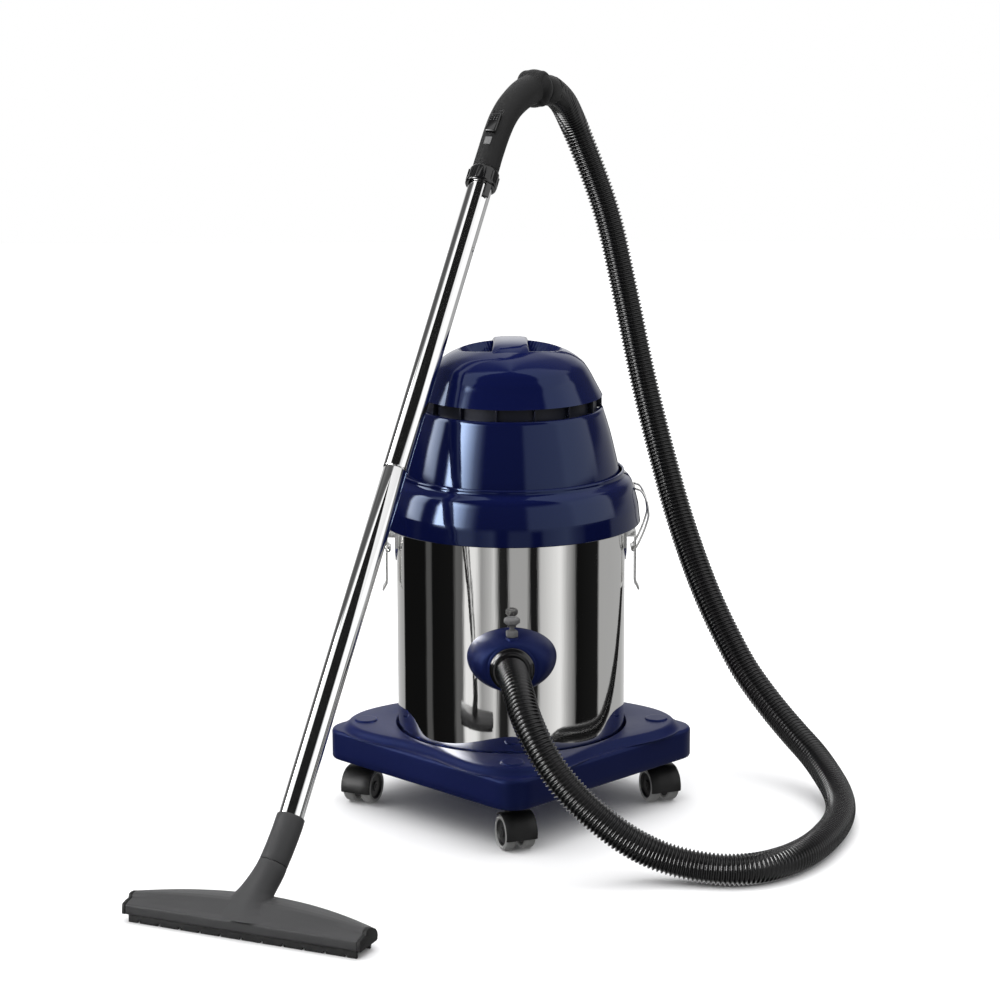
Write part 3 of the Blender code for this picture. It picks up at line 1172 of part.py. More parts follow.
def floor_tool(wand):
    """The floor tool: its body with neck, its sleeve, its end caps and its two strips."""
    turn = Matrix.Translation((*TOOL_CENTRE, 0)) @ Matrix.Rotation(math.radians(WAND_HEADING - 90), 4, "Z")
    place = empty("tool_place", matrix=turn)
    half = TOOL_LENGTH / 2 - CAP_THICK
    local = turn.inverted()
    top, direction = tool_sleeve(wand)
    centre = Vector((*TOOL_CENTRE, TOOL_TOP_MID - 0.014))
    body = put(tool_loft("tool_body", -half, half, 8, "graphite"), parent=place)
    join(body, neck_loft(top, direction, centre, place, local))
    long, deep = MOUTH_SIZE
    cut(body, put(block("mouth", (-long / 2, -deep / 2, -0.01), (long / 2, deep / 2,
                                                                 TOOL_BOTTOM + MOUTH_DEPTH)),
                  parent=place))
    knee = top.lerp(centre, 0.55) + Vector((0, 0, -0.004))
    run = [top + direction * 0.01, top - direction * 0.010, knee, Vector((*TOOL_CENTRE, TOOL_BOTTOM + 0.008))]
    cut(body, put(tube("passage", [local @ point for point in run], 0.0120, None, 4), parent=place))
    for label, hand in (("left", -1), ("right", 1)):
        low, high = sorted((hand * (half + GAP), hand * TOOL_LENGTH / 2))
        put(tool_loft(f"tool_cap_{label}", low, high, 1, "black"), parent=place)
    front = -TOOL_DEPTH_END / 2 + STRIP_INSET
    strip("strip_front", front, "rubber", True, place)
    strip("strip_back", TOOL_DEPTH_END / 2 - STRIP_INSET - STRIP_THICK, "rubber", False, place)


def wand_set():
    """The wand with its tubes, grip and floor tool, and the hose that joins it to the tank."""
    wand = empty("wand_axis", matrix=frame_matrix(Vector(WAND_FOOT), wand_direction()))
    tubes(wand)
    end, end_out = grip(wand)
    floor_tool(wand)
    start, start_out = inlet_cuff()
    hose(start, start_out, end, end_out)


def main():
    """Build the whole vacuum cleaner."""
    clear_scene()
    make_finishes()
    trolley()
    tank()
    casters()
    inlet()
    latch("right", 0)
    latch("left", 180)
    head()
    wand_set()


main()
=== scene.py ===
"""Wet and dry vacuum cleaner: the visible pieces, their finishes, the studio and the camera."""

import json
import logging
import math
from dataclasses import dataclass, field
from enum import Enum

import bpy
from mathutils import Matrix, Vector


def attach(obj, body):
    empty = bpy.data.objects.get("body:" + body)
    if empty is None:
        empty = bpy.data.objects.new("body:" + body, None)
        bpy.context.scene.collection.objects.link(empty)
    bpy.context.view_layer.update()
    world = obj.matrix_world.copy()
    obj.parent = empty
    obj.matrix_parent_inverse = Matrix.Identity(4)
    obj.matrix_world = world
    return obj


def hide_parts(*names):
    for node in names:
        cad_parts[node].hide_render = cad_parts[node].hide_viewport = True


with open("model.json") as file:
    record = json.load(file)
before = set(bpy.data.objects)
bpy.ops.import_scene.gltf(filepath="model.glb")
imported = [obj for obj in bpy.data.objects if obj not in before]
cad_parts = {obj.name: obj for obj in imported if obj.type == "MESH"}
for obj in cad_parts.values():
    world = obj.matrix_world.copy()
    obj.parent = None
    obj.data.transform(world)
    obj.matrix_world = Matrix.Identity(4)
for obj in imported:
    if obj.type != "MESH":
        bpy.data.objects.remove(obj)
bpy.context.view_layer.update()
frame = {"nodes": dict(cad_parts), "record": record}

log = logging.getLogger("vacuum")

SIDES = 160
HOSE_PITCH = 0.0058
WAND_HEADING = math.radians(66.0)
WAND_SLOPE = math.radians(51.4)
WAND_FOOT = Vector((-0.2897, -0.4700, 0.1287))
GRIP_ORIGIN = 0.990
INLET_HEIGHT = 0.2525


# ---------------------------------------------------------------- shader arithmetic

class Wire:
    """A shader socket that takes part in arithmetic."""

    def __init__(self, graph: "Graph", socket: bpy.types.NodeSocket) -> None:
        """Keep the graph and the socket."""
        self.graph = graph
        self.socket = socket

    def _math(self, operation: str, first: object, second: object) -> "Wire":
        """Add a Math node.

        Args:
            operation: the node's operation.
            first: its first value.
            second: its second value.

        Returns:
            The node's result.
        """
        return self.graph.add("ShaderNodeMath", {"operation": operation}, {0: first, 1: second})

    def __add__(self, other: object) -> "Wire":
        """self + other."""
        return self._math("ADD", self, other)

    def __radd__(self, other: object) -> "Wire":
        """other + self."""
        return self._math("ADD", other, self)

    def __sub__(self, other: object) -> "Wire":
        """self - other."""
        return self._math("SUBTRACT", self, other)

    def __rsub__(self, other: object) -> "Wire":
        """other - self."""
        return self._math("SUBTRACT", other, self)

    def __mul__(self, other: object) -> "Wire":
        """self * other."""
        return self._math("MULTIPLY", self, other)

    def __rmul__(self, other: object) -> "Wire":
        """other * self."""
        return self._math("MULTIPLY", other, self)

    def above(self, edge: float, soft: float) -> "Wire":
        """A mask that rises from 0 at an edge to 1 a little past it.

        Args:
            edge: where it starts.
            soft: how far it takes to rise.

        Returns:
            The mask.
        """
        return self.graph.add("ShaderNodeMapRange", {"interpolation_type": "SMOOTHSTEP"},
                              {"Value": self, "From Min": edge, "From Max": edge + soft})


class Graph:
    """The nodes of one material or world."""

    def __init__(self, tree: bpy.types.NodeTree) -> None:
        """Start from a node tree."""
        self.tree = tree

    def add(self, kind: str, settings: dict, sockets: dict, out: object = 0) -> Wire:
        """Add a node.

        Args:
            kind: the node's type.
            settings: its own properties, set first.
            sockets: values or wires of its inputs, by name or number.
            out: the output that is returned.

        Returns:
            The chosen output.
        """
        node = self.tree.nodes.new(kind)
        for key, value in settings.items():
            if key == "stops":
                ramp = node.color_ramp
                while len(ramp.elements) < len(value):
                    ramp.elements.new(0.5)
                for element, (place, tint) in zip(ramp.elements, value):
                    element.position = place
                    element.color = (*tint, 1.0) if isinstance(tint, tuple) else (tint, tint, tint, 1.0)
            else:
                setattr(node, key, value)
        for key, value in sockets.items():
            self.feed(node.inputs[key], value)
        return Wire(self, node.outputs[out])

    def feed(self, socket: bpy.types.NodeSocket, value: object) -> None:
        """Link a wire to an input, or set its value.

        Args:
            socket: the input.
            value: a wire, a number or a colour.
        """
        if isinstance(value, Wire):
            self.tree.links.new(value.socket, socket)
        else:
            socket.default_value = value

    def noise(self, place: Wire, scale: float, detail: float = 3.0, rough: float = 0.5) -> Wire:
        """Noise of a size.

        Args:
            place: the coordinates.
            scale: repeats in a metre.
            detail: its octaves.
            rough: how strong the fine ones are.

        Returns:
            A value about one half.
        """
        return self.add("ShaderNodeTexNoise", {}, {"Vector": place, "Scale": scale, "Detail": detail,
                                                  "Roughness": rough})

    def tint(self, share: Wire, low: tuple, high: tuple) -> Wire:
        """Mix two colours.

        Args:
            share: how much of the second.
            low: the first colour.
            high: the second colour.

        Returns:
            The mixed colour.
        """
        node = self.tree.nodes.new("ShaderNodeMix")
        node.data_type = "RGBA"
        self.feed(node.inputs[0], share)
        for socket, value in ((node.inputs[6], low), (node.inputs[7], high)):
            self.feed(socket, value if isinstance(value, Wire) else (*value, 1.0))
        return Wire(self, node.outputs[2])


# ---------------------------------------------------------------- finishes

class Kind(Enum):
    """What a finish is made of."""

    GLOSS = "gloss plastic"
    GRAINED = "grained plastic"
    METAL = "metal"
    RUBBER = "rubber"
    FELT = "felt"


@dataclass(frozen=True)
class Finish:
    """One surface finish, with the marks that the real one shows."""

    name: str
    kind: Kind
    colour: tuple[float, float, float]
    roughness: float
    grain: float = 900.0  # repeats of the moulded grain in a metre
    depth: float = 0.00003
    mottle: float = 0.12
    stretch: tuple[float, float, float] = (1.0, 1.0, 1.0)
    coat: float = 0.0
    worn: float = 0.25
    tint: tuple[float, float, float] = (1.0, 1.0, 1.0)
    shine: float = 0.5

    def make(self) -> bpy.types.Material:
        """Build the material, once.

        Returns:
            The material.
        """
        found = bpy.data.materials.get(self.name)
        if found:
            return found
        material = bpy.data.materials.new(self.name)
        material.use_nodes = True
        graph = Graph(material.node_tree)
        shader = material.node_tree.nodes["Principled BSDF"]
        metal = self.kind is Kind.METAL
        shader.inputs["Metallic"].default_value = 1.0 if metal else 0.0
        shader.inputs["Coat Weight"].default_value = self.coat
        shader.inputs["Coat Roughness"].default_value = 0.04
        shader.inputs["Specular IOR Level"].default_value = self.shine
        shader.inputs["Specular Tint"].default_value = (*self.tint, 1.0)
        place = graph.add("ShaderNodeTexCoord", {}, {}, "Object")
        broad = graph.noise(place, 11.0, 4.0, 0.55)
        fine = graph.noise(place, self.grain, 2.0, 0.6)
        drawn = graph.add("ShaderNodeMapping", {}, {"Vector": place, "Scale": self.stretch})
        streak = graph.noise(drawn, 60.0, 5.0, 0.7)
        scuff = graph.noise(drawn, 340.0, 2.0, 0.5).above(0.66, 0.10)
        smear = graph.noise(place, 28.0, 5.0, 0.65).above(0.52, 0.22)
        dark = tuple(c * (1 - self.mottle) for c in self.colour)
        pale = tuple(min(1.0, c * (1 + self.mottle)) for c in self.colour)
        share = 0.6 * broad + 0.4 * (streak if metal else fine)
        base = graph.tint(share, dark, pale)
        edge = graph.add("ShaderNodeNewGeometry", {}, {}, "Pointiness").above(0.53, 0.08)
        bright = tuple(min(1.0, c * 1.5 + (0.0 if metal else 0.02)) for c in self.colour)
        graph.feed(shader.inputs["Base Color"], graph.tint(edge * self.worn, base, bright))
        rough = self.roughness * (0.85 + 0.3 * broad) + 0.05 * self.worn * scuff
        if metal or self.kind is Kind.GLOSS:
            rough = rough + 0.035 * smear
        graph.feed(shader.inputs["Roughness"], rough)
        relief = {Kind.GLOSS: 0.7 * graph.noise(place, 42.0, 2.0) + 0.3 * fine,
                  Kind.METAL: 0.8 * graph.noise(place, 9.0, 2.0) + 0.2 * streak,
                  Kind.FELT: fine + 0.5 * streak}.get(self.kind, fine)
        bump = graph.add("ShaderNodeBump", {}, {"Height": relief, "Distance": self.depth, "Strength": 1.0},
                         "Normal")
        graph.feed(shader.inputs["Normal"], bump)
        return material


BLUE = Finish("moulded_blue", Kind.GLOSS, (0.0042, 0.0068, 0.0490), 0.075, 700, 0.00005, 0.10,
              tint=(0.52, 0.68, 1.0))
TROLLEY_BLUE = Finish("satin_blue", Kind.GLOSS, (0.0062, 0.0096, 0.0560), 0.42, 1100, 0.00005, 0.12,
                      tint=(0.36, 0.52, 1.0), shine=0.20)
POLISHED = Finish("polished_steel", Kind.METAL, (0.77, 0.765, 0.75), 0.035, 1500, 0.00030, 0.04, (1, 1, 0.06))
CHROME = Finish("chromed_tube", Kind.METAL, (0.82, 0.82, 0.82), 0.045, 1500, 0.00001, 0.03, (6, 6, 0.1))
PRESSED = Finish("pressed_steel", Kind.METAL, (0.66, 0.66, 0.65), 0.24, 1800, 0.00002, 0.10, (0.3, 0.3, 4))
WIRE = Finish("bright_wire", Kind.METAL, (0.78, 0.78, 0.77), 0.10, 1800, 0.00001, 0.06)
ZINC = Finish("zinc", Kind.METAL, (0.55, 0.55, 0.54), 0.34, 1400, 0.00003, 0.12)
HOSE_BLACK = Finish("hose_black", Kind.GLOSS, (0.0070, 0.0070, 0.0074), 0.16, 1300, 0.00001, 0.15, coat=0.2)
GLOSS_BLACK = Finish("gloss_black", Kind.GLOSS, (0.0060, 0.0060, 0.0065), 0.10, 900, 0.00002, 0.10, coat=0.3)
VENT_BLACK = Finish("vent_black", Kind.GRAINED, (0.0035, 0.0045, 0.0120), 0.40, 900, 0.00002, 0.10,
                    shine=0.25)
GRIP_BLACK = Finish("grained_black", Kind.GRAINED, (0.0165, 0.0165, 0.0167), 0.58, 1500, 0.00009, 0.16,
                    shine=0.18)
TOOL_GREY = Finish("tool_grey", Kind.GRAINED, (0.0560, 0.0560, 0.0570), 0.52, 1300, 0.00012, 0.20, shine=0.16)
HOOD_GREY = Finish("hood_grey", Kind.GRAINED, (0.0150, 0.0150, 0.0150), 0.45, 1500, 0.00006, 0.16, shine=0.25)
TYRE = Finish("tyre_grey", Kind.RUBBER, (0.34, 0.34, 0.33), 0.60, 1500, 0.00005, 0.10, shine=0.3)
KNOB = Finish("knob_grey", Kind.GRAINED, (0.105, 0.105, 0.102), 0.38, 1300, 0.00005, 0.18)
RUBBER = Finish("strip_rubber", Kind.RUBBER, (0.0130, 0.0130, 0.0133), 0.70, 1500, 0.00010, 0.20, shine=0.3)
INNER = Finish("inner_grey", Kind.GRAINED, (0.26, 0.26, 0.27), 0.50, 1200, 0.00006, 0.12)
FELT = Finish("filter_felt", Kind.FELT, (0.70, 0.69, 0.65), 0.92, 2600, 0.00030, 0.15)
FLOAT = Finish("float_foam", Kind.FELT, (0.78, 0.77, 0.73), 0.80, 1600, 0.00015, 0.08)


# ---------------------------------------------------------------- the bench

def free() -> None:
    """Leave edit mode and deselect everything."""
    if bpy.context.object and bpy.context.object.mode != "OBJECT":
        bpy.ops.object.mode_set(mode="OBJECT")
    bpy.ops.object.select_all(action="DESELECT")


def hold(obj: bpy.types.Object) -> bpy.types.Object:
    """Select one object alone and make it active.

    Args:
        obj: the object.

    Returns:
        The same object.
    """
    free()
    obj.select_set(True)
    bpy.context.view_layer.objects.active = obj
    return obj


def named(name: str) -> bpy.types.Object:
    """Name the object just added, and settle its place in its mesh.

    Args:
        name: its name.

    Returns:
        The object.
    """
    obj = bpy.context.object
    obj.name = name
    obj.data.name = name
    bpy.ops.object.transform_apply(location=True, rotation=True, scale=True)
    return obj


def modified(obj: bpy.types.Object, kind: str, **settings: object) -> bpy.types.Object:
    """Add a modifier and apply it.

    Args:
        obj: the piece.
        kind: the modifier's type.
        settings: its properties.

    Returns:
        The piece.
    """
    hold(obj)
    bpy.ops.object.modifier_add(type=kind)
    modifier = obj.modifiers[-1]
    for key, value in settings.items():
        setattr(modifier, key, value)
    bpy.ops.object.modifier_apply(modifier=modifier.name)
    return obj


def rounded(obj: bpy.types.Object, width: float, segments: int = 3, angle: float = 30) -> bpy.types.Object:
    """Round a piece's edges.

    Args:
        obj: the piece.
        width: the rounding's width.
        segments: its steps.
        angle: edges sharper than this are rounded, in degrees.

    Returns:
        The piece.
    """
    return modified(obj, "BEVEL", width=width, segments=segments, limit_method="ANGLE",
                    angle_limit=math.radians(angle), use_clamp_overlap=True)


def smooth(obj: bpy.types.Object, angle: float = 40) -> bpy.types.Object:
    """Shade a piece smooth, except where it turns by more than an angle in degrees."""
    hold(obj)
    bpy.ops.object.shade_smooth_by_angle(angle=math.radians(angle))
    return obj


def outward(obj: bpy.types.Object) -> bpy.types.Object:
    """Weld a closed piece's doubles and turn its faces outward."""
    hold(obj)
    bpy.ops.object.mode_set(mode="EDIT")
    bpy.ops.mesh.select_all(action="SELECT")
    bpy.ops.mesh.remove_doubles(threshold=0.000002)
    bpy.ops.mesh.normals_make_consistent(inside=False)
    bpy.ops.object.mode_set(mode="OBJECT")
    return obj


def cut(obj: bpy.types.Object, tool: bpy.types.Object, operation: str = "DIFFERENCE") -> bpy.types.Object:
    """Cut a piece with another, which is used up.

    Args:
        obj: the piece.
        tool: the other.
        operation: the Boolean's operation.

    Returns:
        The piece.
    """
    modified(obj, "BOOLEAN", operation=operation, object=tool, solver="EXACT")
    bpy.data.objects.remove(tool, do_unlink=True)
    return obj


def joined(*objs: bpy.types.Object) -> bpy.types.Object:
    """Join shells into one piece.

    Args:
        objs: the shells, the first of which is kept.

    Returns:
        The piece.
    """
    hold(objs[0])
    for obj in objs[1:]:
        obj.select_set(True)
    bpy.ops.object.join()
    return objs[0]


def placed(obj: bpy.types.Object, *matrices: Matrix) -> bpy.types.Object:
    """Move a piece's mesh by one matrix after another, the last one first.

    Args:
        obj: the piece.
        matrices: from the outermost to the innermost.

    Returns:
        The piece.
    """
    whole = Matrix()
    for matrix in matrices:
        whole = whole @ matrix
    obj.data.transform(whole)
    obj.data.update()
    return obj


def spun(degrees: float, axis: str = "Z") -> Matrix:
    """A turn about an axis."""
    return Matrix.Rotation(math.radians(degrees), 4, axis)


def moved(x: float, y: float, z: float) -> Matrix:
    """A shift."""
    return Matrix.Translation((x, y, z))


def turned(name: str, profile: list, sides: int = SIDES) -> bpy.types.Object:
    """Turn a profile about Z: a circle drawn out and widened from point to point.

    Args:
        name: the piece's name.
        profile: radii and heights, either a closed loop or from the axis back to the axis.
        sides: steps round it.

    Returns:
        The piece.
    """
    points = list(profile)
    solid = points[0][0] == 0
    points = points[1:] if solid else points + [points[0]]
    free()
    radius, height = points[0]
    bpy.ops.mesh.primitive_circle_add(vertices=sides, radius=radius, location=(0, 0, height))
    obj = named(name)
    bpy.ops.object.mode_set(mode="EDIT")
    bpy.ops.mesh.select_all(action="SELECT")
    _draw_out(points)
    if solid:
        bpy.ops.mesh.select_all(action="DESELECT")
        bpy.ops.mesh.select_non_manifold()
        _draw_out([points[0], profile[0]])
    bpy.ops.object.mode_set(mode="OBJECT")
    return outward(obj)


def _draw_out(points: list) -> None:
    """Draw the selected ring out through radii and heights.

    Args:
        points: radii and heights, the ring's own first.
    """
    for (r_from, z_from), (r_to, z_to) in zip(points, points[1:]):
        bpy.ops.mesh.extrude_edges_move(TRANSFORM_OT_translate={"value": (0, 0, z_to - z_from)})
        if r_to > 0:
            share = r_to / r_from
            bpy.ops.transform.resize(value=(share, share, 1), center_override=(0, 0, z_to))
        else:
            bpy.ops.mesh.merge(type="CENTER")


def block(name: str, low: tuple, high: tuple, bevel: float = 0.0, segments: int = 3) -> bpy.types.Object:
    """A block between two corners with rounded edges.

    Args:
        name: its name.
        low: its lowest corner.
        high: its highest corner.
        bevel: the rounding's width.
        segments: the rounding's steps.

    Returns:
        The block.
    """
    free()
    size = [h - l for l, h in zip(low, high)]
    middle = [(h + l) / 2 for l, h in zip(low, high)]
    bpy.ops.mesh.primitive_cube_add(size=1, location=middle, scale=size)
    obj = named(name)
    return rounded(obj, bevel, segments) if bevel else obj


def ball(name: str, half: tuple, sides: int = 96) -> bpy.types.Object:
    """An ellipsoid about the origin.

    Args:
        name: its name.
        half: its half sizes.
        sides: steps round it.

    Returns:
        The ellipsoid.
    """
    free()
    bpy.ops.mesh.primitive_uv_sphere_add(segments=sides, ring_count=sides // 2, radius=1, scale=half)
    return named(name)


def loft(name: str, rings: list, loop: bool = False) -> bpy.types.Object:
    """Skin rings of points that all have the same count.

    Args:
        name: the piece's name.
        rings: the rings.
        loop: whether the last ring joins the first, else both ends are closed.

    Returns:
        The piece.
    """
    count = len(rings[0])
    points = [p for ring in rings for p in ring]
    faces = []
    for start in range(len(rings) - (0 if loop else 1)):
        after = (start + 1) % len(rings)
        for i in range(count):
            j = (i + 1) % count
            faces.append((start * count + i, start * count + j, after * count + j, after * count + i))
    if not loop:
        for start in (0, len(rings) - 1):
            middle = sum((Vector(p) for p in rings[start]), Vector()) / count
            points.append(middle)
            for i in range(count):
                faces.append((start * count + i, start * count + (i + 1) % count, len(points) - 1))
    mesh = bpy.data.meshes.new(name)
    mesh.from_pydata([tuple(p) for p in points], [], faces)
    obj = bpy.data.objects.new(name, mesh)
    bpy.context.scene.collection.objects.link(obj)
    return outward(obj)


def smooth_path(points: list, spacing: float) -> list:
    """Points at an even spacing along a smooth curve through the given ones.

    Args:
        points: the curve's knots.
        spacing: the distance between points.

    Returns:
        The points.
    """
    knots = [Vector(p) for p in points]
    knots = [2 * knots[0] - knots[1], *knots, 2 * knots[-1] - knots[-2]]
    fine = []
    for a, b, c, d in zip(knots, knots[1:], knots[2:], knots[3:]):
        for step in range(24):
            t = step / 24
            fine.append(0.5 * (2 * b + (c - a) * t + (2 * a - 5 * b + 4 * c - d) * t * t
                               + (3 * b - a - 3 * c + d) * t * t * t))
    fine.append(knots[-2])
    run = [0.0]
    for a, b in zip(fine, fine[1:]):
        run.append(run[-1] + (b - a).length)
    count = max(2, round(run[-1] / spacing))
    path = []
    index = 0
    for step in range(count + 1):
        goal = run[-1] * step / count
        while index < len(run) - 2 and run[index + 1] < goal:
            index += 1
        share = (goal - run[index]) / (run[index + 1] - run[index])
        path.append(fine[index].lerp(fine[index + 1], share))
    return path


def swept(name: str, path: list, radii: list, sides: int, bands: list | None = None) -> bpy.types.Object:
    """A round section carried along a path without twist.

    Args:
        name: the piece's name.
        path: the centres.
        radii: a radius at each centre.
        sides: steps round it.
        bands: shifts along the path and radii of the rings laid at each centre, or none.

    Returns:
        The piece.
    """
    rings = []
    side = None
    for index, centre in enumerate(path):
        along = (path[min(index + 1, len(path) - 1)] - path[max(index - 1, 0)]).normalized()
        if side is None:
            side = along.orthogonal()
        side = (side - along * side.dot(along)).normalized()
        other = along.cross(side)
        for shift, scale in bands or [(0.0, 1.0)]:
            ring = []
            for step in range(sides):
                angle = 2 * math.pi * step / sides
                out = side * math.cos(angle) + other * math.sin(angle)
                ring.append(centre + along * shift + out * (radii[index] * scale))
            rings.append(ring)
    return loft(name, rings)


def graded(path: list, stations: list) -> list:
    """Radii along a path, blended between stations at even shares of its length."""
    radii = []
    for index in range(len(path)):
        at = index / (len(path) - 1) * (len(stations) - 1)
        low = min(int(at), len(stations) - 2)
        radii.append(stations[low] + (stations[low + 1] - stations[low]) * (at - low))
    return radii


# ---------------------------------------------------------------- pieces and the frame

BODY_OF = {node: body for body, facts in frame["record"]["behaviour"]["bodies"].items()
           for node in (facts["nodes"] if isinstance(facts, dict) else facts)}


def finished(obj: bpy.types.Object, node: str, *finishes: Finish, angle: float = 40) -> bpy.types.Object:
    """Dress a piece and let it stand for a CAD node.

    Args:
        obj: the piece.
        node: the node it stands for, whose body it rides on.
        finishes: its finishes, the first one on every face that has no other.
        angle: the sharpest turn that is shaded smooth, in degrees.

    Returns:
        The piece.
    """
    smooth(obj, angle)
    if len(obj.data.materials) == 0:
        for finish in finishes:
            obj.data.materials.append(finish.make())
    obj.name = node + "_shown"
    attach(obj, BODY_OF[node])
    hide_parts(node)
    log.info("%s: %d faces", obj.name, len(obj.data.polygons))
    return obj


def dressed(node: str, finish: Finish) -> None:
    """Give a CAD node that stays in view its finish."""
    obj = frame["nodes"][node]
    if len(obj.material_slots) == 0:
        obj.data.materials.append(finish.make())
    for slot in obj.material_slots:
        slot.material = finish.make()
    log.info("%s keeps its own shape", node)


def refined(node: str, finish: Finish, bevel: float, angle: float = 30) -> bpy.types.Object:
    """A copy of a CAD node with welded corners and rounded edges.

    Args:
        node: the node.
        finish: its finish.
        bevel: the rounding's width.
        angle: edges sharper than this are rounded.

    Returns:
        The piece.
    """
    source = frame["nodes"][node]
    obj = bpy.data.objects.new(node + "_copy", source.data.copy())
    bpy.context.scene.collection.objects.link(obj)
    obj.data.materials.clear()
    hold(obj)
    bpy.ops.object.mode_set(mode="EDIT")
    bpy.ops.mesh.select_all(action="SELECT")
    bpy.ops.mesh.remove_doubles(threshold=0.00001)
    bpy.ops.mesh.dissolve_limited(angle_limit=math.radians(0.5))
    bpy.ops.object.mode_set(mode="OBJECT")
    rounded(obj, bevel, 2, angle)
    return finished(obj, node, finish, angle=32)


# ---------------------------------------------------------------- the wand's plane

LEVEL = Vector((math.cos(WAND_HEADING), math.sin(WAND_HEADING), 0))
UPWARD = LEVEL * math.cos(WAND_SLOPE) + Vector((0, 0, math.sin(WAND_SLOPE)))


def frame_matrix(origin: Vector, along: Vector) -> Matrix:
    """A frame with Z along a direction in the wand's plane and Y level, across the plane."""
    z_axis = Vector(along).normalized()
    y_axis = Vector((LEVEL.y, -LEVEL.x, 0))
    x_axis = y_axis.cross(z_axis)
    return Matrix.Translation(origin) @ Matrix((x_axis, y_axis, z_axis)).transposed().to_4x4()


def in_plane(forward: float, up: float) -> Vector:
    """A point of the wand's plane, from the wand at the grip's origin."""
    return WAND_FOOT + UPWARD * GRIP_ORIGIN + LEVEL * forward + Vector((0, 0, up))


def sloped(degrees: float) -> Vector:
    """A direction in the wand's plane at a slope."""
    slope = math.radians(degrees)
    return LEVEL * math.cos(slope) + Vector((0, 0, math.sin(slope)))


# ---------------------------------------------------------------- camera and studio

